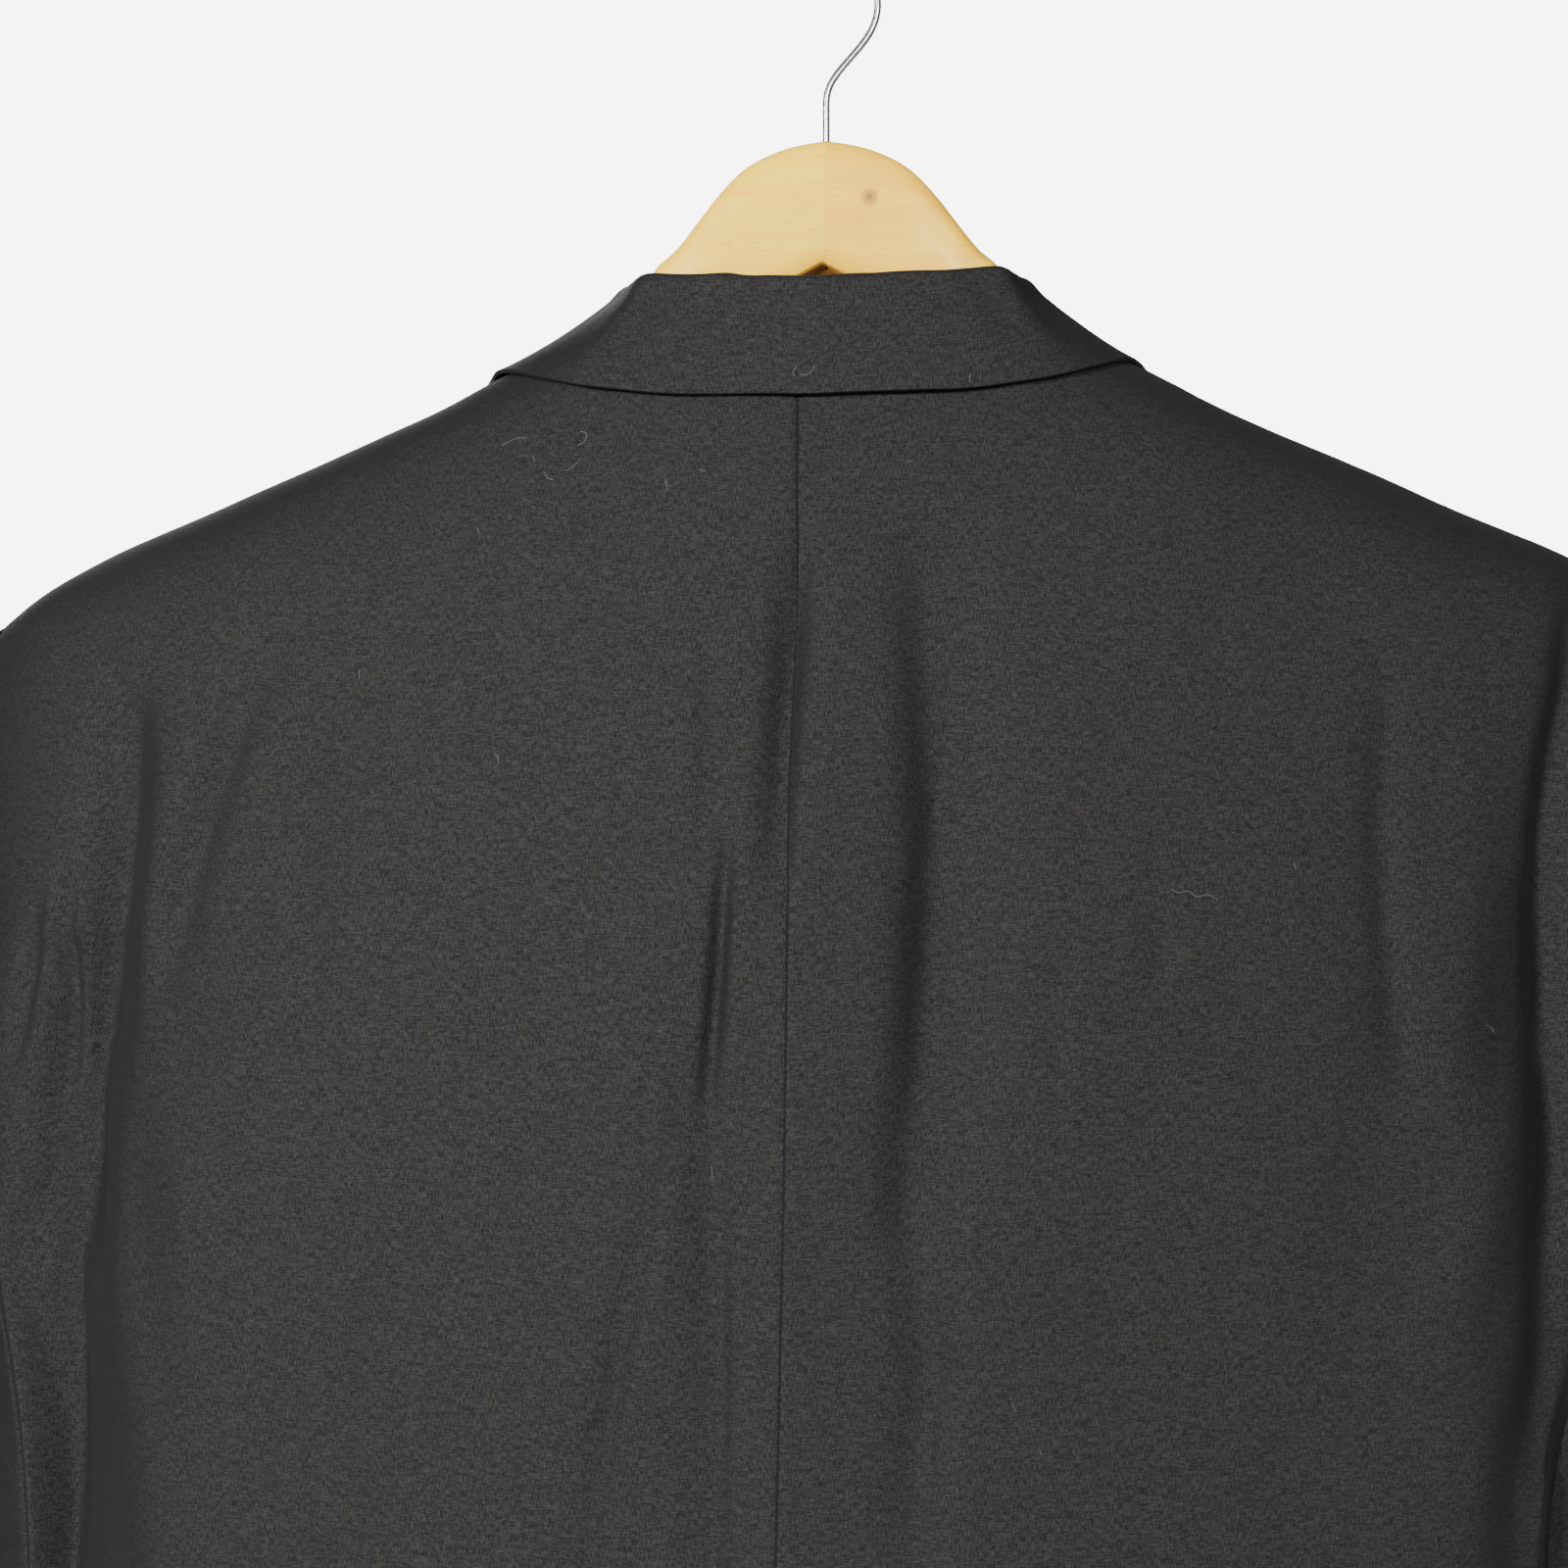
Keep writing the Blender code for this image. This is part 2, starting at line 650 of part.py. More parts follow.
def collar_rows(panels):
    """The stand from neck seam to fold line, and the fall from fold line to its outer edge."""
    seam = neck_line(panels)
    middle = min(range(len(seam)), key=lambda i: (seam[i] - panels["back_left"][-1][0]).length)
    lengths = [(b - a).length for a, b in zip(seam, seam[1:])]
    stand = [[], []]
    fall = [[] for _ in range(2 + len(FALL_ROWS))]
    for i, point in enumerate(seam):
        side = 1 if i >= middle else -1
        total = sum(lengths[middle:]) if side > 0 else sum(lengths[:middle])
        along = sum(lengths[min(i, middle) : max(i, middle)]) / total
        shape = Collar(along, *(column(COLLAR, name, "along", along) for name in Collar._fields[1:]))
        up, out, height = collar_rise(seam, i, shape)
        fold = point + up * height
        turn = fold + up * FOLD_TURN[0] + out * FOLD_TURN[1]
        edge = fall_edge(side, along, shape)
        notch = hang(side * NOTCH[0], form_y(*NOTCH, FRONT), NOTCH[1] + GORGE_GAP)
        to_gorge = ease((along - COLLAR_GORGE) / (1 - COLLAR_GORGE))
        stand[0].append(point + up * STAND_GAP)
        stand[1].append(fold)
        fall[0].append(fold + up * (CLOTH + SEAM_GAP))
        fall[1].append(turn)
        for row, share in enumerate(FALL_ROWS, 2):
            straight = turn.lerp(edge, share)
            straight.z -= shape.sag * math.sin(math.pi * share)
            gorge = bent(turn, notch, edge, FALL_NOTCH_ROW, share)
            fall[row].append(held_off(straight.lerp(gorge, to_gorge), FALL_CLEAR))
    return stand, fall


def make_collar(panels, wool):
    stand, fall = collar_rows(panels)
    cloth("collar_stand", drawn_in(with_normals(stand, INSIDE_COLLAR), SEAM_GAP, "lr"), wool)
    cloth("collar_fall", drawn_in(with_normals(fall, INSIDE_COLLAR), SEAM_GAP, "lr"), wool)


def lapel_spots(side):
    """Outer face of a lapel, lying on its front, from the break up to the gorge and notch."""
    rows = []
    tip = Vector(LAPEL_TIP)
    notch = Vector(NOTCH) - Vector((0, GORGE_GAP))
    for r in range(LAPEL_ROWS + 1):
        up = r / LAPEL_ROWS
        z_roll = lerp(LAPEL_BREAK, LAPEL_HEAD, up)
        roll = Vector((column(INNER_EDGE, "x", "height", z_roll), z_roll))
        edge = Vector(LAPEL_FOOT).lerp(tip, up)
        edge.x += LAPEL_BELLY * math.sin(math.pi * up)
        row = []
        for share in LAPEL_COLUMNS:
            straight = roll.lerp(edge, share)
            gorge = bent(roll, notch, edge, LAPEL_NOTCH_COLUMN, share)
            x, z = straight.lerp(gorge, ease((up - LAPEL_GORGE) / (1 - LAPEL_GORGE)))
            rounding = LAPEL_ROLL * math.sin(math.pi * min(share / LAPEL_ROLL_SHARE, 1.0)) * (1 - up)
            lift = CLOTH + LAYER_GAP + rounding + lap(x, side)
            row.append(body_spot(side * x, form_y(x, z, FRONT), z, lift))
        rows.append(row)
    return rows


def make_lapels(wool):
    for side, word in ((1, "left"), (-1, "right")):
        cloth(f"lapel_{word}", drawn_in(lapel_spots(side), SEAM_GAP, "t"), wool)


def armhole_loop(panels, word):
    """The armhole seam from the shoulder point down the back, under the arm and up the front."""
    back = [row[-1] for row in panels[f"back_{word}"]][SIDE_ROWS - 1 :][::-1]
    under = panels[f"side_{word}"][-1][1:-1]
    front = [row[-1] for row in panels[f"front_{word}"]][SIDE_ROWS - 1 : -1]
    return back + under + front


def loop_angles(loop):
    """Angle of each loop point round the sleeve: 0 at the shoulder, a half turn under the arm."""
    lowest = min(range(len(loop)), key=lambda i: loop[i].z)
    closed = loop + loop[:1]
    lengths = [(b - a).length for a, b in zip(closed, closed[1:])]
    back, front = sum(lengths[:lowest]), sum(lengths[lowest:])
    angles = []
    for i in range(len(loop)):
        if i <= lowest:
            angles.append(math.pi * sum(lengths[:i]) / back)
        else:
            angles.append(math.pi + math.pi * sum(lengths[lowest:i]) / front)
    return angles


def sleeve_rings(panels, side, word):
    """Rings of points from the armhole to the cuff."""
    loop = armhole_loop(panels, word)
    angles = loop_angles(loop)
    out = Vector((side * SEAM_GAP, 0, 0))
    rings = [[point + out for point in loop]]
    for ring in SLEEVE_RINGS:
        points = []
        for angle in angles:
            outer = (1 + math.cos(angle)) / 2
            x = lerp(ring.inner_x, ring.outer_x, outer)
            z = lerp(ring.inner_z, ring.outer_z, outer)
            y = ring.half_depth * math.sin(angle) - ring.forward
            points.append(Vector((side * x + lean(z), y, z)))
        rings.append(points)
    return rings


def make_sleeves(panels, wool):
    """Top sleeve over the arm and under sleeve beneath it, meeting at two seams."""
    rings_of = {}
    for side, word in ((1, "left"), (-1, "right")):
        rings = sleeve_rings(panels, side, word)
        rings_of[word] = rings
        count = len(rings[0])
        inside = INSIDE_SLEEVE * Vector((side, 1, 1))
        spots = with_normals(rings, inside, closed=True)
        top_columns = range(-SLEEVE_SEAM_FRONT, SLEEVE_SEAM_BACK + 1)
        under_columns = range(SLEEVE_SEAM_BACK, count - SLEEVE_SEAM_FRONT + 1)
        top = [[ring[i % count] for i in top_columns] for ring in spots]
        under = [[ring[i] for i in under_columns] for ring in spots]
        cloth(f"sleeve_top_{word}", drawn_in(top, SEAM_GAP / 2, "lr"), wool)
        cloth(f"sleeve_under_{word}", drawn_in(under, SEAM_GAP / 2, "lr"), wool)
    return rings_of


def pocket_piece(name, side, centre, size, tilt, wool):
    """A flap or welt that lies on the front, a little above the cloth."""
    rows = []
    for r in range(POCKET_ROWS + 1):
        row = []
        for c in range(POCKET_COLUMNS + 1):
            across = c / POCKET_COLUMNS - 0.5
            x = centre[0] + size[0] * across
            z = centre[1] + size[1] * (0.5 - r / POCKET_ROWS) - tilt * across * 2
            row.append(body_spot(side * x, form_y(x, z, FRONT), z, CLOTH + LAYER_GAP))
        rows.append(row)
    cloth(name, rows, wool)


def make_pockets(wool):
    pocket_piece("pocket_flap_left", 1, FLAP_CENTRE, FLAP_SIZE, FLAP_TILT, wool)
    pocket_piece("pocket_flap_right", -1, FLAP_CENTRE, FLAP_SIZE, FLAP_TILT, wool)
    pocket_piece("breast_welt", 1, WELT_CENTRE, WELT_SIZE, WELT_TILT, wool)


def surface_of(name):
    mesh = bpy.data.objects[name].data
    mesh.calc_loop_triangles()
    corners = [vert.co.copy() for vert in mesh.vertices]
    return BVHTree.FromPolygons(corners, [tuple(face.vertices) for face in mesh.loop_triangles])


def make_button(name, near, surface, diameter, horn, steps):
    """A turned button: flat back, rounded rim and a dished face, seated on the cloth."""
    place, normal, _, _ = surface.find_nearest(near)
    radius = diameter / 2
    highest = 0.0
    for i in range(BUTTON_SPOKES):
        spoke = normal.orthogonal().normalized() * (radius if i % 2 else radius / 2)
        spoke.rotate(Quaternion(normal, 2 * math.pi * i / BUTTON_SPOKES))
        under, _, _, _ = surface.find_nearest(place + spoke)
        highest = max(highest, (under - place).dot(normal))
    shape = bmesh.new()
    verts = [shape.verts.new((out * radius, 0.0, up * radius)) for out, up in BUTTON_OUTLINE]
    edges = [shape.edges.new(pair) for pair in zip(verts, verts[1:])]
    bmesh.ops.spin(shape, geom=verts + edges, axis=(0, 0, 1), cent=(0, 0, 0), steps=steps,
                   angle=2 * math.pi, use_merge=True)
    bmesh.ops.remove_doubles(shape, verts=shape.verts[:], dist=1e-6)
    bmesh.ops.recalc_face_normals(shape, faces=shape.faces[:])
    mesh = bpy.data.meshes.new(name)
    shape.to_mesh(mesh)
    shape.free()
    mesh.shade_smooth()
    mesh.set_sharp_from_angle(angle=math.radians(40))
    mesh.materials.append(horn)
    button = bpy.data.objects.new(name, mesh)
    button.location = place + normal * (highest + BUTTON_SEAT)
    button.rotation_mode = "QUATERNION"
    button.rotation_quaternion = normal.to_track_quat("Z", "Y")
    bpy.context.scene.collection.objects.link(button)


def make_buttons(rings_of, horn):
    front = surface_of("front_left")
    for number, height in enumerate(BUTTON_HEIGHTS, 1):
        near = hang(0.0, form_y(0.0, height, FRONT) - BUTTON_REACH, height)
        make_button(f"front_button_{number}", near, front, FRONT_BUTTON, horn, FRONT_BUTTON_STEPS)
    for word, rings in rings_of.items():
        sleeve = surface_of(f"sleeve_top_{word}")
        seam, beside = SLEEVE_SEAM_BACK, SLEEVE_SEAM_BACK - 1
        line = [ring[seam].lerp(ring[beside], CUFF_BUTTON_FROM_SEAM) for ring in rings]
        cuff, above = line[-1], line[-3]
        along = (above - cuff).normalized()
        for number in range(CUFF_BUTTONS):
            name = f"cuff_button_{word}_{number + 1}"
            near = cuff + along * (CUFF_BUTTON_START + number * CUFF_BUTTON_PITCH)
            make_button(name, near, sleeve, CUFF_BUTTON, horn, CUFF_BUTTON_STEPS)


def hanger_sections():
    sections = list(NECK_OF_HANGER)
    thin, thick = ARM_HALF_THICKNESS
    for i in range(ARM_SECTIONS):
        share = i / (ARM_SECTIONS - 1)
        x = lerp(ARM_START, WOOD_END, share)
        sections.append(HangerSection(x, ridge_height(x) - SEAT_DROP, lerp(thin, thick, ease(share))))
    return sections


def wood_outline():
    """An upright rounded oblong, from -1 to 1 each way, flat on top and at the foot."""
    points = []
    for i in range(WOOD_SIDES):
        angle = 2 * math.pi * (i + 0.5) / WOOD_SIDES
        c, s = math.cos(angle), math.sin(angle)
        across = math.copysign(abs(c) ** WOOD_SQUARENESS, c)
        points.append((across, math.copysign(abs(s) ** WOOD_SQUARENESS, s)))
    highest = max(up for _, up in points)
    return [(across, up / highest) for across, up in points]


def make_hanger_half(side, word, wood):
    """One shaped half: a row of rounded upright sections, bridged and closed at both ends."""
    shape = bmesh.new()
    outline = wood_outline()
    loops = []
    for section in hanger_sections():
        foot = WOOD_FOOT - WOOD_FOOT_SLOPE * section.x
        middle, half_height = (section.top + foot) / 2, (section.top - foot) / 2
        ring = []
        for across, up in outline:
            y = section.half_thickness * across - sweep(section.x)
            ring.append(shape.verts.new((side * section.x, y, middle + half_height * up)))
        loops.append(ring)
    for near, far in zip(loops, loops[1:]):
        for i in range(WOOD_SIDES):
            j = (i + 1) % WOOD_SIDES
            shape.faces.new((near[i], near[j], far[j], far[i]))
    shape.faces.new(loops[0])
    shape.faces.new(loops[-1])
    bmesh.ops.recalc_face_normals(shape, faces=shape.faces[:])
    mesh = bpy.data.meshes.new(f"hanger_{word}")
    shape.to_mesh(mesh)
    shape.free()
    mesh.shade_smooth()
    mesh.set_sharp_from_angle(angle=math.radians(50))
    mesh.materials.append(wood)
    half = bpy.data.objects.new(f"hanger_{word}", mesh)
    bpy.context.scene.collection.objects.link(half)


def hook_route():
    """The wire from the wood up the shank, over the bend and round the crook."""
    route = list(SHANK)
    centre = WIRE_RADIUS - CROOK_RADIUS
    for i in range(CROOK_STEPS + 1):
        angle = lerp(CROOK_START, CROOK_END, i / CROOK_STEPS)
        route.append(Wire(CROOK_RADIUS * math.cos(angle), centre + CROOK_RADIUS * math.sin(angle)))
    return route


def make_hook(steel):
    wire = bpy.data.curves.new("hanger_hook", "CURVE")
    wire.dimensions = "3D"
    wire.bevel_depth = WIRE_RADIUS
    wire.bevel_resolution = 2
    wire.use_fill_caps = True
    route = hook_route()
    spline = wire.splines.new("POLY")
    spline.points.add(len(route) - 1)
    for point, (x, z) in zip(spline.points, route):
        point.co = (x, 0.0, z, 1.0)
    wire.materials.append(steel)
    hook = bpy.data.objects.new("hanger_hook", wire)
    bpy.context.scene.collection.objects.link(hook)


def main():
    clear_scene()
    wool = make_material("black plain-weave wool", (0.030, 0.030, 0.034), 0.85)
    horn = make_material("black horn button", (0.012, 0.011, 0.010), 0.35)
    wood = make_material("pale beech", (0.80, 0.62, 0.36), 0.45)
    steel = make_material("bright steel wire", (0.62, 0.62, 0.62), 0.25, 1.0)
    panels = make_body(wool)
    make_collar(panels, wool)
    make_lapels(wool)
    rings_of = make_sleeves(panels, wool)
    make_pockets(wool)
    make_buttons(rings_of, horn)
    for side, word in ((1, "left"), (-1, "right")):
        make_hanger_half(side, word, wood)
    make_hook(steel)


main()
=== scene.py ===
# %% [markdown]
# A black plain-weave sport coat, seen from behind on a pale wooden hanger. The imported CAD model is
# the frame: every piece below is cut from a CAD wall, made finer, creased and given its
# finish. Seam points are shared with the neighbouring walls, so the pieces still meet.

# %% Load the frame
import json
import math

import bmesh
import bpy
import numpy as np
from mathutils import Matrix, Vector

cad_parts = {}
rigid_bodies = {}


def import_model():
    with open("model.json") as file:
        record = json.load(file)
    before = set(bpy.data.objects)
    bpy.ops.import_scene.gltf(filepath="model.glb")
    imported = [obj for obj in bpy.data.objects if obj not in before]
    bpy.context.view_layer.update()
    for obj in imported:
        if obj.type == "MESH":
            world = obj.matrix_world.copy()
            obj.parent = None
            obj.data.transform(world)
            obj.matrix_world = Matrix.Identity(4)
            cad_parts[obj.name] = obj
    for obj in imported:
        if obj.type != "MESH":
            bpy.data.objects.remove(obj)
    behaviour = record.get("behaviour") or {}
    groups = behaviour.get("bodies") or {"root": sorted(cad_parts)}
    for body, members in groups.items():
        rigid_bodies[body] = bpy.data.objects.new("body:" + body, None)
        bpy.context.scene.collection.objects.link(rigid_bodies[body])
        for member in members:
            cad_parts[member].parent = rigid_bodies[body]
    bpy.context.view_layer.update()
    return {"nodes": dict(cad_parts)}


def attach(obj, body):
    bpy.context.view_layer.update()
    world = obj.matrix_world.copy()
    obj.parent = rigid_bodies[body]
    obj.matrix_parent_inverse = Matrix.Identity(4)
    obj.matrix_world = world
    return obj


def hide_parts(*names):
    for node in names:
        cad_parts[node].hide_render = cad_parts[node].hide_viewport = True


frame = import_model()
print("CAD nodes:", len(frame["nodes"]))

# %% [markdown]
# The photograph was taken close to the coat's back, level with the shoulder blades. The picture
# is 1600 pixels square, and at the hanger, one metre away, 2650 pixels cover a metre.

# %% Camera
PICTURE = 1600
PIXELS_PER_METRE = 2650
SENSOR = 36
VIEW_DISTANCE = 1.0
VIEW_ANGLE = math.radians(182)
AIM_ASIDE = 43 / PIXELS_PER_METRE
AIM_HEIGHT = -0.318
AIM = np.array((AIM_ASIDE, 0.0, AIM_HEIGHT))
TOWARDS = np.array((-math.sin(VIEW_ANGLE), math.cos(VIEW_ANGLE), 0.0))
RIGHT = np.array((math.cos(VIEW_ANGLE), math.sin(VIEW_ANGLE), 0.0))
EYE = AIM - TOWARDS * VIEW_DISTANCE


def placed(name, data, place=(0.0, 0.0, 0.0), look=None):
    """A new object in the scene, turned to look along a direction if one is given."""
    thing = bpy.data.objects.new(name, data)
    thing.location = place
    if look is not None:
        thing.rotation_mode = "QUATERNION"
        thing.rotation_quaternion = Vector(look).to_track_quat("-Z", "Y")
    bpy.context.scene.collection.objects.link(thing)
    return thing


lens = bpy.data.cameras.new("camera")
lens.sensor_width = SENSOR
lens.lens = SENSOR * PIXELS_PER_METRE / PICTURE
bpy.context.scene.camera = placed("camera", lens, EYE, TOWARDS)
print("lens", round(lens.lens, 1), "mm")

# %% [markdown]
# A cloth wall in the CAD model has an outer face, an inner face and a narrow rim. Its outer face
# is a net of rows and columns, found again by walking over the mesh. The rim's triangles have an
# edge as short as the cloth is thick, and without them the outer and inner faces fall apart.

# %% Find the net of a wall
CLOTH = 0.0016
RIM_TOLERANCE = 0.00015
TINY = 1e-6
CORNER_TURN = math.radians(62)


def merged_copy(name):
    """A bmesh copy of a CAD node with its doubled points merged."""
    shape = bmesh.new()
    shape.from_mesh(frame["nodes"][name].data)
    bmesh.ops.remove_doubles(shape, verts=shape.verts[:], dist=TINY)
    return shape


def islands(shape):
    """The connected groups of faces."""
    left, groups = set(shape.faces), []
    while left:
        group, fresh = set(), {left.pop()}
        while fresh:
            group |= fresh
            fresh = {near for f in fresh for e in f.edges for near in e.link_faces} - group
        left -= group
        groups.append(group)
    return groups


def outer_face(name, inside):
    """The outer face of a cloth wall: the one of its two faces that looks away from the inside."""
    shape = merged_copy(name)
    rim = [f for f in shape.faces
           if any(abs(e.calc_length() - CLOTH) < RIM_TOLERANCE for e in f.edges)]
    bmesh.ops.delete(shape, geom=rim, context="FACES")

    def looks_out(group):
        return sum((f.calc_center_median() - inside).normalized().dot(f.normal) * f.calc_area()
                   for f in group)

    groups = sorted(islands(shape), key=looks_out)
    spare = [face for group in groups[:-1] for face in group]
    bmesh.ops.delete(shape, geom=spare, context="FACES")
    return shape


def border_of(shape):
    """The points round the edge, in order."""
    edges = [e for e in shape.edges if e.is_boundary]
    start = edges[0].verts[0]
    loop, last = [start], None
    while True:
        here = loop[-1]
        step = next(e for e in here.link_edges if e.is_boundary and e is not last)
        after = step.other_vert(here)
        if after is start:
            return loop
        loop.append(after)
        last = step


def turn(loop, i):
    """How sharply the border turns at one of its points."""
    before, here, after = loop[i - 1].co, loop[i].co, loop[(i + 1) % len(loop)].co
    return (here - before).angle(after - here)


def row_length(loop, total):
    """Points in the first row, of the two counts that fit: the one with the sharper corners."""
    half_border = (len(loop) + 4) // 2
    short = round((half_border - math.sqrt(half_border**2 - 4 * total)) / 2)
    best = 0
    for count in (short, half_border - short):
        other = half_border - count
        corners = (count - 1, count + other - 2, 2 * count + other - 3)
        bend = sum(turn(loop, i) for i in corners)
        if bend > best:
            best, chosen = bend, count
    return chosen


def thirds(a, b):
    """The points that make a triangle with two others."""
    return {v for f in a.link_faces if b in f.verts for v in f.verts} - {a, b}


def far_corner(a, b, c):
    """The fourth corner of a cell of the net, which is cut along one of its diagonals."""
    if c in thirds(a, b):
        return (thirds(b, c) - {a}).pop()
    return (thirds(a, b) & thirds(a, c)).pop()


def net_of(name, inside, first, along):
    """The wall's points as rows and columns: `first` points to a corner, and rows run `along`."""
    shape = outer_face(name, Vector(inside))
    loop = border_of(shape)
    sharp = [i for i in range(len(loop)) if turn(loop, i) > CORNER_TURN]
    start = max(sharp, key=lambda i: loop[i].co.dot(Vector(first)))
    loop = loop[start:] + loop[:start]
    if (loop[1].co - loop[-1].co).dot(Vector(along)) < 0:
        loop = loop[:1] + loop[:0:-1]
    columns = row_length(loop, len(shape.verts))
    rows = [loop[:columns]]
    side = loop[:0:-1][: len(shape.verts) // columns - 1]
    for left in side:
        made = [left]
        for a, b in zip(rows[-1], rows[-1][1:]):
            made.append(far_corner(a, b, made[-1]))
        rows.append(made)
    points = np.array([[v.co[:] for v in r] for r in rows])
    shape.free()
    return points


# %% [markdown]
# Each piece is named with a corner to start from, given as a direction, and with the way its first
# row runs. Rows climb from the hem or the cuff, and the collar's fall starts at its fold. The
# table is for the left half of the coat, and the right half mirrors it.

# %% All the nets
SIDES = (("left", 1), ("right", -1))
BODY_INSIDE = (0.0, -0.02, -0.55)
NECK_INSIDE = (0.0, -0.01, -0.15)
SLEEVE_INSIDE = (0.38, -0.07, -0.60)
NET_STARTS = {
    "back": ((-1, 0, -1.5), (1, 0, 0)),
    "side": ((0, 1, -1), (0, -1, 0)),
    "front": ((1, 0, -1.5), (-1, 0, 0)),
    "lapel": ((0, 0, -1), (-1, 0, 0)),
    "pocket_flap": ((1, 0, -1), (-1, 0, 0)),
    "sleeve_top": ((0, -1, -1), (1, 0, 0)),
    "sleeve_under": ((0, -1, -1), (-1, 0, 0)),
}


def mirrored(place, side):
    return (place[0] * side, place[1], place[2])


nets = {}
for word, side in SIDES:
    for part, (first, along) in NET_STARTS.items():
        name = f"{part}_{word}"
        inside = mirrored(SLEEVE_INSIDE, side) if part.startswith("sleeve") else BODY_INSIDE
        nets[name] = net_of(name, inside, mirrored(first, side), mirrored(along, side))
nets["breast_welt"] = net_of("breast_welt", BODY_INSIDE, (1, 0, -1), (-1, 0, 0))
nets["collar_stand"] = net_of("collar_stand", NECK_INSIDE, (1, -1, -1), (0.5, 1, 0))
nets["collar_fall"] = net_of("collar_fall", NECK_INSIDE, (0.2, 1, -1), (0, 1, 1))
for name, points in nets.items():
    print(name, "net of", *points.shape[:2])

# %% [markdown]
# A net of points 30 mm apart is too coarse for cloth. Each line of it becomes a smooth curve
# through the same points, once along the rows and once along the columns. Every line is worked out
# from its own points alone, so two pieces that share a seam get the same seam.

# %% Make a net finer
NET_STEPS = {
    # the most metres between rows and between columns
    "back": (0.0062, 0.0013), "side": (0.0090, 0.0045), "front": (0.0090, 0.0050),
    "lapel": (0.0060, 0.0040), "pocket_flap": (0.0050, 0.0050), "breast_welt": (0.0040, 0.0050),
    "sleeve_top": (0.0060, 0.0045), "sleeve_under": (0.0060, 0.0045),
    "collar_stand": (0.0030, 0.0030), "collar_fall": (0.0022, 0.0022),
}
SEAM_LINES = (0.0006, 0.0012, 0.0020, 0.0031, 0.0046)
CLOSEST = 0.008


def lengths(vectors):
    """The length of each vector, kept as a last axis of one."""
    return np.linalg.norm(vectors, axis=-1, keepdims=True)


def gaps_along(points, axis=0):
    """Distances from each point to the next along an axis."""
    return lengths(np.diff(points, axis=axis))[..., 0]


def fractions(count, parts):
    """Index fractions from the first of some points to the last, each step cut in parts."""
    return np.arange(0, count - 1 + TINY, 1 / parts)


def smooth_lines(points, at):
    """Points on smooth curves down the first axis, at fractions of its index."""
    gaps = gaps_along(points)[..., None]
    slopes = np.diff(points, axis=0) / gaps
    inner = (gaps[1:] * slopes[:-1] + gaps[:-1] * slopes[1:]) / (gaps[1:] + gaps[:-1])
    if len(points) > 2:
        first = 1.5 * slopes[:1] - 0.5 * inner[:1]
        last = 1.5 * slopes[-1:] - 0.5 * inner[-1:]
        tangents = np.concatenate([first, inner, last])
    else:
        tangents = np.concatenate([slopes, slopes])
    i = np.clip(np.floor(at).astype(int), 0, len(points) - 2)
    t = (at - i)[:, None, None]
    near, far = points[i], points[i + 1]
    rise = near + (far - near) * (t * t * (3 - 2 * t))
    return rise + gaps[i] * (t * (1 - t) ** 2 * tangents[i] - t * t * (1 - t) * tangents[i + 1])


def places(points, longest, near_edges):
    """Index fractions down the first axis, closer together at the edges that carry a seam."""
    gaps = gaps_along(points).mean(axis=1)
    at = [0.0]
    for i, gap in enumerate(gaps):
        count = max(2, math.ceil(gap / longest))
        at += [i + (k + 1) / count for k in range(count)]
    last = len(gaps)
    for distance in SEAM_LINES:
        if near_edges[0]:
            at.append(distance / gaps[0])
        if near_edges[1]:
            at.append(last - distance / gaps[-1])
    at = np.unique(np.round(at, 4))
    keep = np.concatenate([[True], np.diff(at) > CLOSEST])
    keep[-1] = True
    return at[keep]


def finer(name, row_edges=(True, True), column_edges=(True, True)):
    """A piece's net with rows and columns no further apart than the table says."""
    points = nets[name]
    row_step, column_step = NET_STEPS[name.removesuffix("_left").removesuffix("_right")]
    rows = places(points, row_step, row_edges)
    columns = places(points.transpose(1, 0, 2), column_step, column_edges)
    tall = smooth_lines(points, rows)
    return smooth_lines(tall.transpose(1, 0, 2), columns).transpose(1, 0, 2)


def ways_out(points, inside):
    """The way out of the cloth at each point."""
    out = np.cross(np.gradient(points, axis=0), np.gradient(points, axis=1))
    out /= lengths(out)
    middle = points - np.array(inside)
    return out if (out * middle).sum() > 0 else -out


def from_border(points):
    """Metres from each point to the first and last column, and to the first and last row."""
    left = np.pad(np.cumsum(gaps_along(points, 1), axis=1), ((0, 0), (1, 0)))
    bottom = np.pad(np.cumsum(gaps_along(points), axis=0), ((1, 0), (0, 0)))
    return {"left": left, "right": left[:, -1:] - left, "bottom": bottom, "top": bottom[-1:] - bottom}


# %% [markdown]
# Where two pieces are sewn together the cloth turns under, so each side dips into the seam over a
# few millimetres and is pulled up a little, unevenly, by the stitches. At a free edge the cloth
# is folded back inside, which makes it thicker and round. Both come from the distance to the
# border. A piece's own creases settle before they reach a neighbour that hasn't got them.

# %% Seams and edges
SEAM_GAP = 0.0004
SEAM_OVERLAP = 0.0001
SEAM_DIP = 0.0009
SEAM_WIDTH = 0.0016
PUCKER = 0.00025
PUCKER_LENGTH = 0.017
PUCKER_AT = 0.006
PUCKER_WIDTH = 0.007
PUCKER_ACROSS = 0.4
PUCKER_BEAT = 2.3
PUCKER_START = 1.1
EDGE_EXTRA = 0.0010
EDGE_WIDTH = 0.0070
SETTLE = 0.010


def bell(distance, width):
    """One in the middle, falling off softly over a width."""
    return np.exp(-((distance / width) ** 2))


def smooth_step(value, low, high):
    """Rises from 0 to 1 between the two limits."""
    t = np.clip((value - low) / (high - low), 0, 1)
    return t * t * (3 - 2 * t)


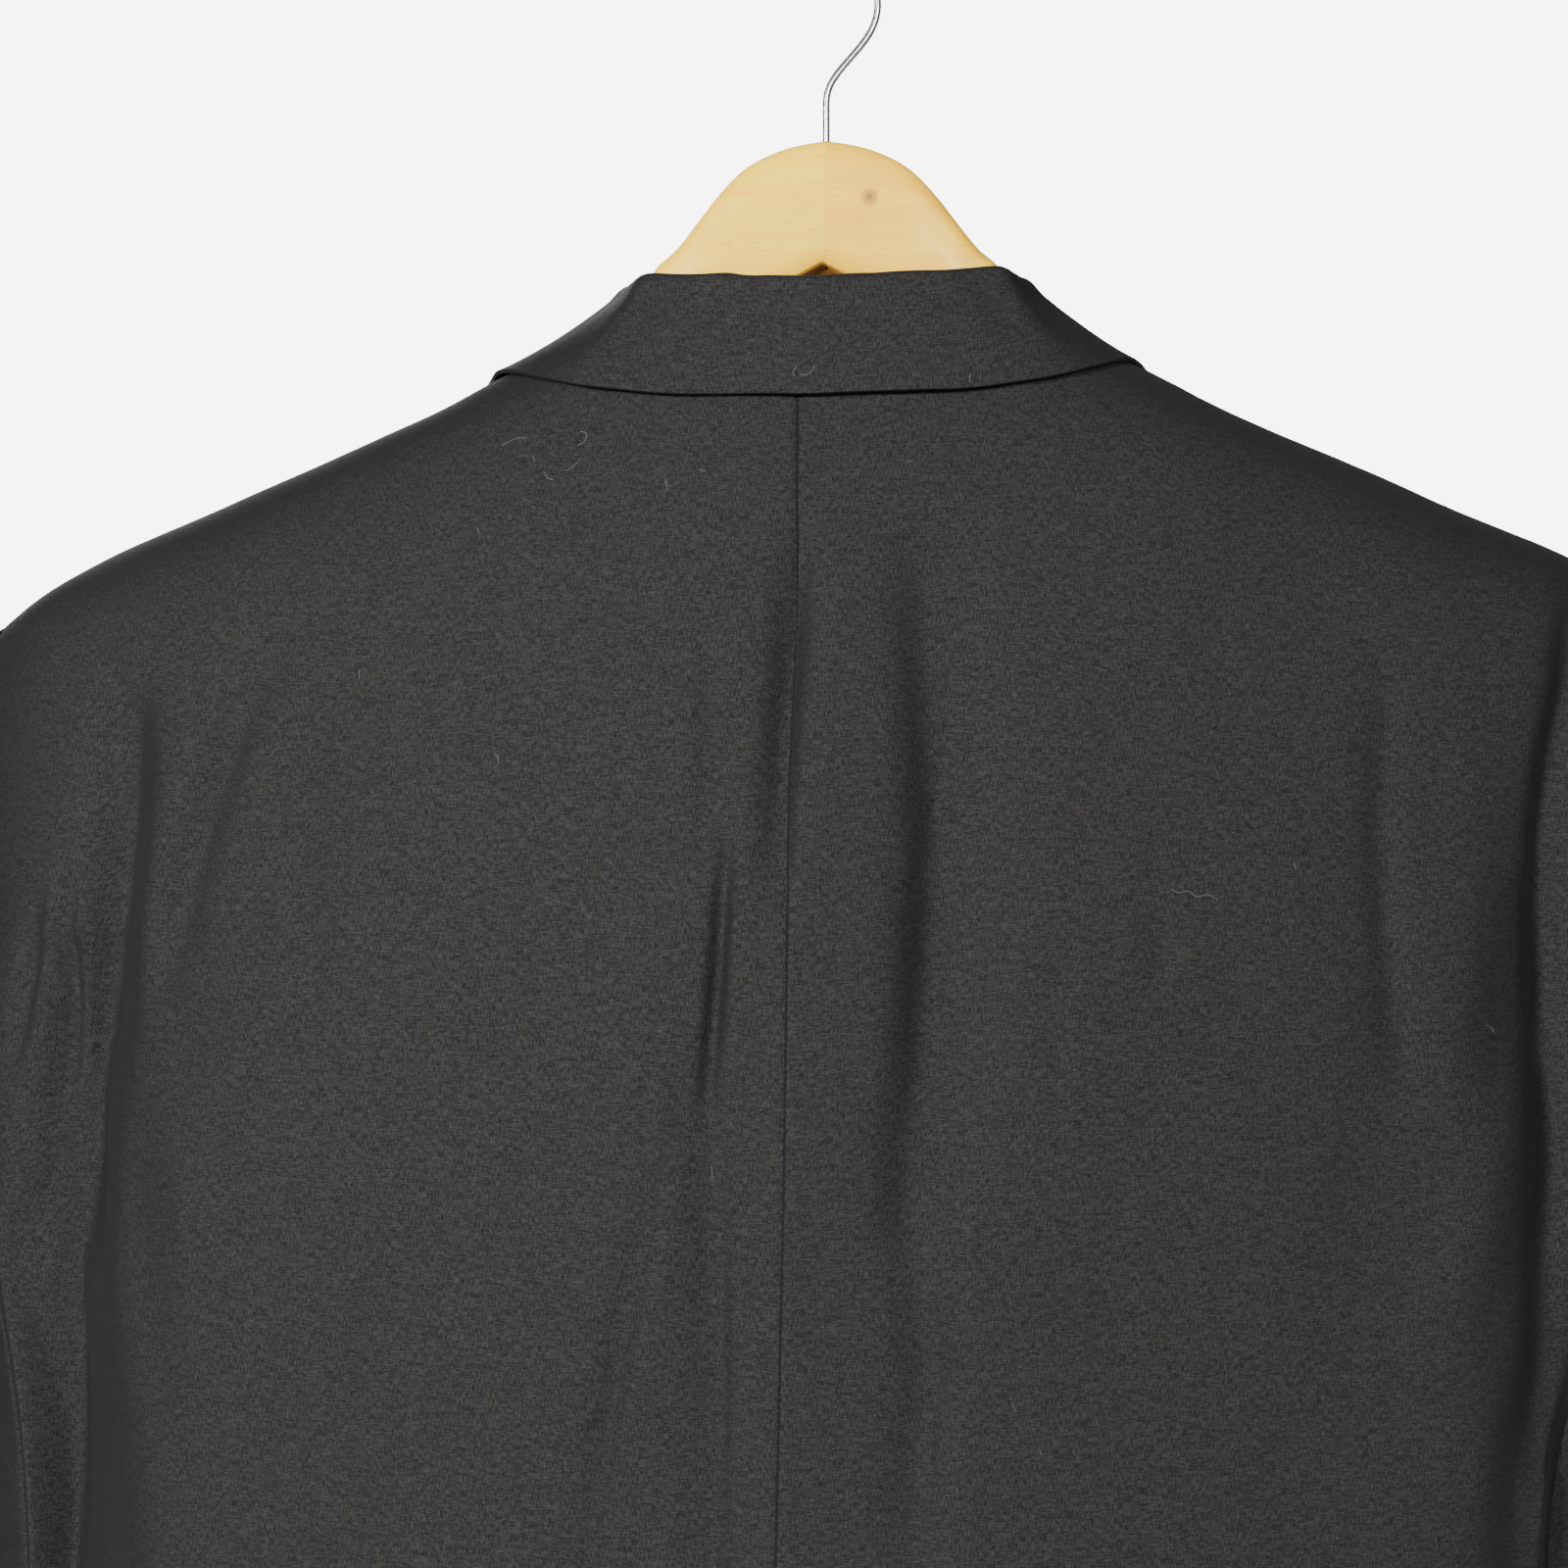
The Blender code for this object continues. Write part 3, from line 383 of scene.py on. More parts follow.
def closed_up(points, borders):
    """The borders that are sewn, moved out over half the gap of the CAD model, to close tight."""
    moved = points.copy()
    ends = {"left": (np.s_[:, 0], np.s_[:, 1]), "right": (np.s_[:, -1], np.s_[:, -2]),
            "bottom": (np.s_[0], np.s_[1]), "top": (np.s_[-1], np.s_[-2])}
    for border in borders:
        edge, beside = ends[border]
        step = points[edge] - points[beside]
        moved[edge] = points[edge] + step / lengths(step) * (SEAM_GAP / 2 + SEAM_OVERLAP)
    return moved


def seam_relief(points, distance, borders):
    """The dip and the pucker along the sewn borders."""
    run = (points[..., 2] + PUCKER_ACROSS * points[..., 0]) / PUCKER_LENGTH
    pucker = np.sin(run * 2 * math.pi) * np.sin(run * PUCKER_BEAT + PUCKER_START)
    total = np.zeros(points.shape[:2])
    for border in borders:
        away = distance[border]
        total -= SEAM_DIP * bell(away, SEAM_WIDTH)
        total += PUCKER * pucker * bell(away - PUCKER_AT, PUCKER_WIDTH)
    return total


def settled(relief, net, borders):
    """Relief that dies away towards the named borders."""
    distance = from_border(net)
    for border in borders:
        relief = relief * smooth_step(distance[border], 0.0, SETTLE)
    return relief


def sewn_map(distance, borders):
    """Distance from the nearest sewn border, and metres along that border, at each point."""
    away = np.full(distance["left"].shape, 1.0)
    run = np.zeros(away.shape)
    for border in borders:
        along = distance["bottom"] if border in ("left", "right") else distance["left"]
        nearer = distance[border] < away
        away = np.where(nearer, distance[border], away)
        run = np.where(nearer, along, run)
    return away, run


def edge_thickness(distance, borders):
    """How thick the cloth is: double at the free edges, where it is folded under."""
    total = np.full(distance["left"].shape, CLOTH)
    for border in borders:
        total += EDGE_EXTRA * bell(distance[border], EDGE_WIDTH)
    return total


# %% [markdown]
# The creases follow the photograph. Each is a line on the picture, given by a few of its pixels,
# its half widths in pixels for the left and the right slope, its depth in millimetres, and the
# height of the swell beside it, on the left, or on the right if negative. Both ends fade, and a
# negative depth makes a bulge. Below the picture the coat gets creases of the same kind, and so
# does the front, on a picture taken from there.

# %% Creases
MM = 0.001
SWELL_AT = 2.6
SWELL_WIDTH = 1.6
FADE_POWER = 0.6
SLACK_ROUND = 0.6
SLACK_STEP = 1.7
SLACK_WAVES = ((38, 9, 0.00045), (71, 23, 0.00028), (-55, 31, 0.00030), (112, -47, 0.00014),
               (17, 88, 0.00020))
BACK_CREASES = (
    (((134, 690), (130, 780), (124, 850), (111, 950), (98, 1050), (89, 1130), (84, 1210),
      (82, 1290)), (32, 22), 11.8, -1),
    (((72, 950), (66, 1020), (58, 1100), (53, 1200), (50, 1300), (51, 1400), (53, 1500),
      (50, 1600), (40, 1800)), (40, 56), 22.6, 0),
    (((292, 640), (270, 680), (245, 730), (225, 790), (205, 845), (190, 910), (176, 970),
      (162, 1030)), (20, 19), 4.2, -0.8),
    (((70, 880), (62, 960), (52, 1030), (42, 1090), (32, 1140), (16, 1190)), (12, 9), 4.4, -0.8),
    (((44, 910), (28, 980), (14, 1050), (0, 1110)), (10, 6), 3.2, -0.8),
    (((36, 1160), (16, 1240), (0, 1300)), (7, 13), 3.4, 0.8),
    (((820, 520), (811, 640), (804, 720), (799, 800), (797, 860), (799, 930)), (21, 15), 7.4, -0.6),
    (((726, 640), (723, 760), (716, 870)), (12, 22), 2, 0.6),
    (((744, 840), (738, 900), (731, 1000), (725, 1080), (718, 1150)), (9, 9), 5.6, -1),
    (((724, 1090), (728, 1200), (731, 1350), (731, 1500), (724, 1700)), (26, 14), 3.4, -0.6),
    (((698, 1140), (667, 1230), (645, 1320), (625, 1430), (605, 1560), (592, 1680)),
     (18, 10), 2.8, -0.6),
    (((948, 520), (950, 640), (958, 740), (963, 840), (960, 920), (955, 1000), (948, 1090),
      (936, 1190), (926, 1290)), (33, 60), 10.2, 1.2),
    (((928, 1200), (944, 1330), (954, 1400), (938, 1500), (928, 1650)), (30, 16), 4, -1),
    (((976, 735), (966, 790), (954, 835)), (6, 4), 1, -0.6),
    (((1418, 660), (1414, 760), (1412, 850), (1417, 950), (1426, 1050), (1442, 1130)),
     (20, 14), 2.4, -0.5),
    (((1612, 590), (1604, 700), (1589, 770), (1581, 840), (1578, 910), (1582, 980), (1588, 1050)),
     (19, 20), 6.8, -0.4),
    (((1582, 880), (1588, 1050), (1588, 1130), (1585, 1200), (1577, 1290), (1571, 1370),
      (1565, 1430), (1560, 1500)), (28, 20), 9.2, -0.4),
    (((1575, 1080), (1572, 1300), (1562, 1450), (1552, 1600), (1550, 1820)), (115, 30), -9.2, 0),
    (((120, 1060), (116, 1250), (110, 1400), (102, 1600), (98, 1820)), (46, 100), -7.8, 0),
    (((1258, 616), (1232, 644), (1202, 672)), (9, 17), 1.4, 0.3),
    (((1145, 506), (1112, 512), (1080, 516)), (8, 16), 0.8, 0.3),
    (((494, 980), (486, 1060), (476, 1140)), (11, 21), 1.4, 0.4),
    (((312, 860), (316, 980), (306, 1120)), (13, 23), 1.4, 0.4),
    (((1170, 880), (1190, 960), (1182, 1040)), (23, 13), 1.3, -0.4),
    (((1085, 960), (1078, 1040), (1086, 1130)), (21, 11), 1.2, -0.4),
    (((450, 1800), (440, 2000), (436, 2250)), (29, 55), 3.4, 1.2),
    (((1190, 1780), (1180, 2050), (1176, 2260)), (55, 29), 3.2, -1.2),
    (((1440, 1720), (1420, 1900), (1410, 2100)), (21, 39), 3, 1),
)
FRONT_CREASES = (
    (((-694, 752), (-705, 964), (-694, 1203)), (13, 23), 2.6, 1.4),
    (((705, 726), (710, 938), (694, 1229)), (23, 13), 2.6, -1.4),
    (((-159, 1203), (-225, 1335), (-318, 1441)), (17, 31), 1.8, 1),
    (((159, 1203), (238, 1322), (339, 1415)), (31, 17), 1.8, -1),
    (((-662, 1441), (-625, 1574), (-543, 1693)), (34, 18), 2, -1),
    (((652, 1454), (615, 1579), (530, 1680)), (18, 34), 2, 1),
    (((-238, 2024), (-265, 2236), (-276, 2448)), (52, 28), 2.4, -1.4),
    (((265, 1998), (297, 2210), (313, 2461)), (28, 52), 2.4, 1.4),
)


def on_photo(points):
    """Where points of the coat fall on the photograph, in its pixels."""
    from_eye = points - EYE
    per_pixel = from_eye @ TOWARDS / PIXELS_PER_METRE
    return PICTURE / 2 + from_eye @ RIGHT / per_pixel, PICTURE / 2 - from_eye[..., 2] / per_pixel


def on_front(points):
    """The same for a flat picture of the front, with the coat's middle at zero."""
    return -points[..., 0] * PIXELS_PER_METRE, -points[..., 2] * PIXELS_PER_METRE


def along_line(line, x, z):
    """Distance from a line of points, positive on its left, and how far along it, from 0 to 1."""
    line = np.array(line)
    steps = np.diff(line, axis=0)
    gaps = gaps_along(line)
    best = np.full(x.shape, np.inf)
    signed = np.zeros(x.shape)
    share = np.zeros(x.shape)
    for i, (start, step, length) in enumerate(zip(line[:-1], steps, gaps)):
        t = np.clip(((x - start[0]) * step[0] + (z - start[1]) * step[1]) / length**2, 0, 1)
        dx, dz = x - start[0] - t * step[0], z - start[1] - t * step[1]
        apart = np.hypot(dx, dz)
        nearer = apart < best
        best = np.where(nearer, apart, best)
        signed = np.where(nearer, np.sign(step[0] * dz - step[1] * dx) * apart, signed)
        share = np.where(nearer, (gaps[:i].sum() + t * length) / gaps.sum(), share)
    return signed, share


def crease_relief(picture, creases):
    """Troughs and swells at each point, from where it falls on the picture."""
    total = np.zeros(picture[0].shape)
    for line, (left, right), depth, swell in creases:
        apart, share = along_line(line, *picture)
        half_width = np.where(apart > 0, left, right)
        fade = np.sin(math.pi * np.clip(share, 0.0, 1.0)) ** FADE_POWER
        beside = apart * np.sign(swell) - SWELL_AT * half_width
        total -= depth * fade * bell(apart, half_width)
        total += abs(swell) * fade * bell(beside, SWELL_WIDTH * half_width)
    return total * MM


def slack(points, seed):
    """The faint unevenness of hanging cloth: a few long waves that cross."""
    x, y, z = points[..., 0], points[..., 1], points[..., 2]
    total = np.zeros(z.shape)
    for number, (across_by, up_by, size) in enumerate(SLACK_WAVES):
        wave = across_by * (x + SLACK_ROUND * y) + up_by * z
        total += size * np.sin(wave + seed + SLACK_STEP * number)
    return total


# %% [markdown]
# A grid makes the outer face of a piece, extruding it makes the wall, and a bevel rounds the rim.
# Its points start on a lattice of whole numbers, so that each one finds its row and column. One
# UV map has the cloth's own lengths in metres, from a stretch of cloth of its own, and the weave
# follows it round every fold. A second one has the distance from the nearest seam, for the
# stitches, and an attribute tells the under side of the cloth from its face, which the wool
# paints near-black as painted shade.

# %% Sew a net up into a wall of cloth
CUT_APART = 0.731
RIM_ANGLE = math.radians(62)
RIM_BEVEL = 0.0006


def add_map(mesh, name, across_by, up_by, row, column):
    """A UV map from two values at each point of the net."""
    corner = np.zeros(len(mesh.loops), int)
    mesh.loops.foreach_get("vertex_index", corner)
    values = np.stack([across_by[row, column][corner], up_by[row, column][corner]], axis=1)
    mesh.uv_layers.new(name=name).uv.foreach_set("vector", values.ravel())


def slab(name, rows, columns):
    """A mesh of two layers of points, each at its own column, row and layer as whole numbers."""
    shape = bmesh.new()
    bmesh.ops.create_grid(shape, x_segments=columns - 1, y_segments=rows - 1, size=1.0)
    for i, vert in enumerate(shape.verts):
        vert.co = (i % columns, i // columns, 0)
    made = bmesh.ops.extrude_face_region(shape, geom=shape.faces[:], use_keep_orig=True)
    for vert in made["geom"]:
        if isinstance(vert, bmesh.types.BMVert):
            vert.co.z = 1
    mesh = bpy.data.meshes.new(name)
    shape.to_mesh(mesh)
    shape.free()
    lattice = np.zeros(len(mesh.vertices) * 3)
    mesh.vertices.foreach_get("co", lattice)
    return mesh, np.rint(lattice.reshape(-1, 3)).astype(int).T


def round_rim(mesh):
    """Faces turned outward, and the slab's sharp edges bevelled."""
    shape = bmesh.new()
    shape.from_mesh(mesh)
    bmesh.ops.recalc_face_normals(shape, faces=shape.faces[:])
    rim = [e for e in shape.edges if e.calc_face_angle(0) > RIM_ANGLE]
    bmesh.ops.bevel(shape, geom=rim, offset=RIM_BEVEL, segments=2, profile=0.6, affect="EDGES",
                    clamp_overlap=True)
    shape.to_mesh(mesh)
    shape.free()


def cloth_piece(name, net, inside, thickness, sewn, material):
    """A wall of cloth inward from its net, with its maps."""
    mesh, (column, row, layer) = slab(name, *net.shape[:2])
    out = ways_out(net, inside)
    place = net[row, column] - out[row, column] * (thickness[row, column] * layer)[:, None]
    mesh.vertices.foreach_set("co", place.ravel())
    distance = from_border(net)
    across_by = distance["left"] - distance["left"][:, -1:] / 2
    own_stretch = len(bpy.data.objects) * CUT_APART
    add_map(mesh, "cut", across_by + own_stretch, distance["bottom"], row, column)
    add_map(mesh, "sewn", *sewn, row, column)
    under = mesh.attributes.new("under", "FLOAT", "POINT")
    under.data.foreach_set("value", layer.astype(float))
    round_rim(mesh)
    mesh.shade_smooth()
    mesh.materials.append(material)
    return placed(name, mesh)


def stand_in(piece, node):
    """A detailed piece takes the place of a CAD node."""
    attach(piece, "root")
    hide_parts(node)


def sew(node, net, inside, seams, edges, relief=0.0):
    """The detailed piece that stands for a CAD wall of cloth."""
    points = closed_up(net, seams)
    distance = from_border(points)
    lift = seam_relief(points, distance, seams) + relief
    moved = points + ways_out(points, inside) * lift[..., None]
    sewn = sewn_map(distance, seams)
    piece = cloth_piece(f"{node}_cloth", moved, inside, edge_thickness(distance, edges), sewn, wool)
    stand_in(piece, node)


# %% [markdown]
# Colours are written as sRGB and turned into the linear values that shaders use. One helper adds a
# node and sets its inputs, and a few short ones name the nodes that come back often, so that each
# material reads as a recipe.

# %% Colour and node helpers


def linear(code):
    """A six-digit sRGB colour as linear RGBA."""
    parts = [int(code[i : i + 2], 16) / 255 for i in (1, 3, 5)]
    return (*(c / 12.92 if c <= 0.04045 else ((c + 0.055) / 1.055) ** 2.4 for c in parts), 1.0)


def set_inputs(node, **inputs):
    """Set or link a node's inputs: in0 is the first one, and a name has _ where the node has a space."""
    for key, value in inputs.items():
        numbered = key.startswith("in") and key[2:].isdigit()
        socket = node.inputs[int(key[2:]) if numbered else key.replace("_", " ")]
        if isinstance(value, bpy.types.NodeSocket):
            node.id_data.links.new(value, socket)
        else:
            socket.default_value = linear(value) if isinstance(value, str) else value
    return node


def add_node(tree, kind, settings=None, **inputs):
    """A node of a tree, with its settings made and its inputs set or linked."""
    node = tree.nodes.new(kind)
    for key, value in (settings or {}).items():
        setattr(node, key, value)
    return set_inputs(node, **inputs)


def new_material(name, **constants):
    material = bpy.data.materials.new(name)
    material.use_nodes = True
    shader = set_inputs(material.node_tree.nodes["Principled BSDF"], **constants)
    return material, material.node_tree, shader


def math_of(tree, operation, *values):
    inputs = {f"in{i}": value for i, value in enumerate(values)}
    return add_node(tree, "ShaderNodeMath", {"operation": operation}, **inputs).outputs[0]


def blended(tree, factor, low, high, kind="MIX"):
    """Two colours mixed."""
    settings = {"data_type": "RGBA", "blend_type": kind}
    return add_node(tree, "ShaderNodeMix", settings, in0=factor, in6=low, in7=high).outputs[2]


def spread(tree, value, low, high, to_low=0.0, to_high=1.0, kind="LINEAR"):
    """A value carried from one range to another and held inside it."""
    return add_node(tree, "ShaderNodeMapRange", {"interpolation_type": kind}, Value=value, From_Min=low,
                    From_Max=high, To_Min=to_low, To_Max=to_high).outputs[0]


def noise(tree, place, scale, **inputs):
    return add_node(tree, "ShaderNodeTexNoise", None, Vector=place, Scale=scale, **inputs).outputs["Fac"]


def object_place(tree):
    return add_node(tree, "ShaderNodeTexCoord").outputs["Object"]


def finished(material, shader, colour, height, strength, distance):
    """The material with its colour and its bump brought to the shader."""
    bump = add_node(material.node_tree, "ShaderNodeBump", None, Height=height, Strength=strength,
                    Distance=distance)
    set_inputs(shader, Base_Color=colour, Normal=bump.outputs[0])
    return material


# %% [markdown]
# Close up the cloth is a crosshatch of short lighter and darker yarns, upright in some places and
# level in others, with pale flecks and a faint change of hue. It is painted darker where it turns
# away from the eye, as painted shade, and its under side is painted near-black as shade. Two
# stretched noises give the yarns, and a bump from two waves gives the weave. A yarn is drawn
# 0.36 mm wide, a little coarser than the real one, so that it shows in a picture with 2.6 pixels
# to the millimetre. A dark dashed line runs along each seam.

# %% Wool
YARN = 0.00036
YARN_LENGTH = 7 * YARN
STITCH = 0.0024


def streaked(tree, uv, width, length, detail, seed):
    """Noise in streaks of one width and length, in metres."""
    place = add_node(tree, "ShaderNodeVectorMath", {"operation": "MULTIPLY_ADD"}, in0=uv,
                     in1=(1 / width, 1 / length, 1.0), in2=(seed, seed * 1.7, seed)).outputs[0]
    return noise(tree, place, 1.0, Detail=detail, Roughness=0.6)


def yarn_wave(tree, coordinate):
    turned = math_of(tree, "MULTIPLY", coordinate, math.pi / YARN)
    return math_of(tree, "ABSOLUTE", math_of(tree, "SINE", turned))


def parts_of(tree, vector):
    return add_node(tree, "ShaderNodeSeparateXYZ", None, Vector=vector).outputs


def black_wool():
    material, tree, shader = new_material(
        "black plain-weave wool", Roughness=0.92, Sheen_Weight=0.03, Sheen_Roughness=0.45,
        Sheen_Tint="#b9b9c0", Specular_IOR_Level=0.28)
    uv = add_node(tree, "ShaderNodeUVMap", {"uv_map": "cut"}).outputs[0]
    upright = streaked(tree, uv, YARN, YARN_LENGTH, 1.0, 3.1)
    level = streaked(tree, uv, YARN_LENGTH, YARN, 1.0, 8.4)
    way = spread(tree, streaked(tree, uv, 0.005, 0.007, 2.0, 5.7), 0.34, 0.66, 0.30, 0.58)
    streaks = add_node(tree, "ShaderNodeMix", None, in0=way, in2=upright, in3=level).outputs[0]
    yarns = blended(tree, spread(tree, streaks, 0.38, 0.64, kind="SMOOTHSTEP"), "#0c0c0c", "#2d2c2b")
    warm = spread(tree, streaked(tree, uv, 0.0022, 0.0030, 1.0, 1.9), 0.35, 0.65)
    violet = spread(tree, streaked(tree, uv, 0.004, 0.005, 1.0, 6.2), 0.45, 0.65, 0.0, 0.8)
    hue = blended(tree, violet, blended(tree, warm, "#fff7ea", "#e8f3f6"), "#f8eefc")
    colour = blended(tree, 0.8, yarns, hue, "MULTIPLY")
    flecks = spread(tree, streaked(tree, uv, 0.00045, 0.00060, 0.0, 12.3), 0.79, 0.86, 0.0, 0.5)
    colour = blended(tree, flecks, colour, "#5c5c54")
    seam = parts_of(tree, add_node(tree, "ShaderNodeUVMap", {"uv_map": "sewn"}).outputs[0])
    dash = math_of(tree, "SINE", math_of(tree, "MULTIPLY", seam[1], 2 * math.pi / STITCH))
    half_line = spread(tree, dash, -1.0, -0.6, 0.00022, 0.00062)
    beyond = math_of(tree, "SUBTRACT", seam[0], half_line)
    colour = blended(tree, spread(tree, beyond, 0.0, 0.00025, 0.9, 0.0, "SMOOTHSTEP"), colour, "#050505")
    # painted shade: the under side of the cloth is painted near-black, for the shadow under the collar's
    # edge and inside the coat
    layer = add_node(tree, "ShaderNodeAttribute", {"attribute_name": "under"}).outputs["Fac"]
    colour = blended(tree, spread(tree, layer, 0.1, 0.9, 0.0, 0.8), colour, "#060606")
    # painted shade: the cloth is painted darker, towards near-black, where it turns away from the eye
    facing = add_node(tree, "ShaderNodeLayerWeight", None, Blend=0.5).outputs["Facing"]
    painted_grazing_shade = spread(tree, facing, 0.03, 0.60, 0.0, 0.80, "SMOOTHSTEP")
    colour = blended(tree, painted_grazing_shade, colour, "#060607")
    weave = math_of(tree, "MAXIMUM", *(yarn_wave(tree, part) for part in parts_of(tree, uv)[:2]))
    height = math_of(tree, "MULTIPLY_ADD", weave, 0.5, streaks)
    return finished(material, shader, colour, height, 0.35, 0.0004)


wool = black_wool()
print("wool:", len(wool.node_tree.nodes), "nodes")

# %% [markdown]
# The back is two large pieces joined down the middle. It is what the photograph shows, so its net
# is the finest: 1.3 mm across and 6 mm down between points, which holds the sharpest crease. The
# middle seam wanders a few millimetres, as it does on the photograph.

# %% Back and sides
SEAM_COURSE = ((-0.70, 0.0), (-0.56, 0.0010), (-0.45, 0.0018), (-0.39, 0.0028), (-0.32, 0.0038),
               (-0.25, 0.0034), (-0.16, 0.0039))
SEAM_REACH = 0.045
BACK_SLACK = 0.6


def table_at(table, value):
    """A value between the rows of a table of pairs."""
    known, wanted = zip(*sorted(table))
    return np.interp(value, known, wanted)


def with_seam_course(net):
    """The back's net with its middle seam moved aside by what the table says for each height."""
    moved = net.copy()
    moved[..., 0] += table_at(SEAM_COURSE, net[..., 2]) * bell(net[..., 0], SEAM_REACH)
    return moved


backs = []
for word, side in SIDES:
    net = with_seam_course(finer(f"back_{word}"))
    relief = crease_relief(on_photo(net), BACK_CREASES) + BACK_SLACK * slack(net, 0.4)
    relief = settled(relief, net, ("right", "top"))
    surface = net + ways_out(net, BODY_INSIDE) * relief[..., None]
    backs.append((surface, ways_out(surface, BODY_INSIDE)))
    sew(f"back_{word}", net, BODY_INSIDE, ("left", "right", "top"), ("bottom",), relief)
    net = finer(f"side_{word}")
    relief = settled(slack(net, 2.0 + side), net, ("left", "right", "top"))
    sew(f"side_{word}", net, BODY_INSIDE, ("left", "right", "top"), ("bottom",), relief)

# %% [markdown]
# The fronts carry the lapels, a breast welt and two flapped pockets. Their free edge runs from the
# neck down past the buttons and round the corner to the hem.

# %% Fronts, lapels and pockets
for word, side in SIDES:
    net = finer(f"front_{word}")
    relief = crease_relief(on_front(net), FRONT_CREASES) + slack(net, 4.0 + side)
    relief = settled(relief, net, ("left", "top"))
    sew(f"front_{word}", net, BODY_INSIDE, ("left", "top"), ("right", "bottom"), relief)
    net = finer(f"lapel_{word}")
    sew(f"lapel_{word}", net, BODY_INSIDE, ("top",), ("left", "bottom"))
    net = finer(f"pocket_flap_{word}")
    sew(f"pocket_flap_{word}", net, BODY_INSIDE, ("top",), ("left", "right", "bottom"))
net = finer("breast_welt")
sew("breast_welt", net, BODY_INSIDE, ("left", "right", "bottom"), ("top",))

# %% [markdown]
# A sleeve is a top sleeve and an under sleeve, joined by two seams. It hangs with its weight on
# the shoulder, so it breaks into short slanting folds at the elbow and drags a little under the
# armhole. The table gives each fold's place down the sleeve, its slant, depth and half width.

# %% Sleeves
SLEEVE_FOLDS = (
    (0.10, 0.05, 0.0016, 0.011),
    (0.215, -0.06, 0.0022, 0.009),
    (0.245, 0.05, 0.0020, 0.008),
    (0.275, -0.03, 0.0018, 0.010),
    (0.37, 0.04, 0.0012, 0.012),
)
FOLD_WAVES = 9
FOLD_WANDER = 0.006
FOLD_ASIDE = 0.18
FOLD_REACH = 0.28
FOLD_SWELL = 0.5
FOLD_SWELL_AT = 1.9


def sleeve_folds(net, seed):
    """Slanting folds round the elbow and the underarm, each with a swell below it."""
    distance = from_border(net)
    down = distance["top"]
    across_by = distance["left"] / np.maximum(distance["left"][:, -1:], 1e-6) - 0.5
    total = np.zeros(down.shape)
    for number, (at, slant, depth, half_width) in enumerate(SLEEVE_FOLDS):
        wave = FOLD_WANDER * np.sin(FOLD_WAVES * across_by + seed + number)
        middle = at + slant * across_by + wave
        reach = bell(across_by - FOLD_ASIDE * math.sin(seed + 2 * number), FOLD_REACH)
        fold = bell(down - middle, half_width)
        swell = bell(down - middle - FOLD_SWELL_AT * half_width, half_width)
        total += depth * reach * (FOLD_SWELL * swell - fold)
    return total


for word, side in SIDES:
    for part, seed in (("top", 0.7 + side), ("under", 3.1 + side)):
        name = f"sleeve_{part}_{word}"
        net = finer(name)
        relief = settled(sleeve_folds(net, seed) + slack(net, seed), net, ("left", "right", "top"))
        sew(name, net, mirrored(SLEEVE_INSIDE, side), ("left", "right"), ("bottom",), relief)

# %% [markdown]
# The collar is a stand that rises from the neck seam and a fall that turns over it and covers the
# seam. The fall's outer edge is free and stands off the back by its folds, which leaves the dark
# line below it. The fold is a little higher on the right and the edge curves less than in the
# CAD model, as on the photograph. The tables give metres to move for places across the coat.

# %% Collar
FOLD_SHIFT = ((0.080, -0.0040), (0.071, -0.0040), (0.057, -0.0016), (0.035, 0.0018), (0.0, 0.0019),
              (-0.0226, 0.0024), (-0.063, 0.0), (-0.072, -0.0012), (-0.080, -0.0034),
              (-0.092, -0.0030), (-0.110, -0.0012))
EDGE_SHORTER = ((0.125, 0.0), (0.100, 0.0030), (0.079, 0.0042), (0.056, 0.0032), (0.037, 0.0014),
                (0.010, 0.0004), (0.0, 0.0010), (-0.0425, 0.0046), (-0.0755, 0.0050),
                (-0.0995, 0.0026), (-0.125, 0.0))
FRONT_FADE = (-0.045, 0.005)
SHOULDER_HUG = ((0.0, 0.0006), (-0.09, 0.0016))
HUG_FROM = (0.092, 0.116)
FALL_SLACK = 0.5


def as_measured(net, fold_row):
    """The collar's net with its fold raised or lowered, most at the fold."""
    moved = net.copy()
    fold = net[fold_row]
    shift = table_at(FOLD_SHIFT, fold[:, 0]) * smooth_step(fold[:, 1], *FRONT_FADE)
    rows = np.abs(np.arange(len(net)) - (fold_row % len(net))) / (len(net) - 1)
    moved[..., 2] += shift[None, :] * (1 - rows)[:, None]
    return moved


def shortened(net):
    """The fall's net drawn up along its own surface, so that its edge runs as measured."""
    moved = net.copy()
    rows = np.arange(len(net))
    for j in range(net.shape[1]):
        column = net[:, j]
        shorter = table_at(EDGE_SHORTER, column[-1, 0]) * smooth_step(column[0, 1], *FRONT_FADE)
        at = rows * (1 - shorter / gaps_along(column).sum())
        moved[:, j] = np.stack([np.interp(at, rows, column[:, k]) for k in range(3)], axis=1)
    return moved


net = finer("collar_stand", column_edges=(False, False))
sew("collar_stand", as_measured(net, -1), NECK_INSIDE, ("bottom",), ("top",))
net = shortened(as_measured(finer("collar_fall", row_edges=(False, True)), 0))
rows_down = np.linspace(0, 1, len(net))[:, None]
hug = table_at(SHOULDER_HUG, net[..., 0]) * smooth_step(np.abs(net[..., 0]), *HUG_FROM) * rows_down
falls = [(net, ways_out(net, NECK_INSIDE))]
sew("collar_fall", net, NECK_INSIDE, (), ("left", "right"), FALL_SLACK * slack(net, 1.3) - hug)

# %% [markdown]
# The hanger is two shaped halves of pale beech, glued at the middle. The CAD model has twelve
# points round each section; the same smooth curves make it round, and its ends are closed.

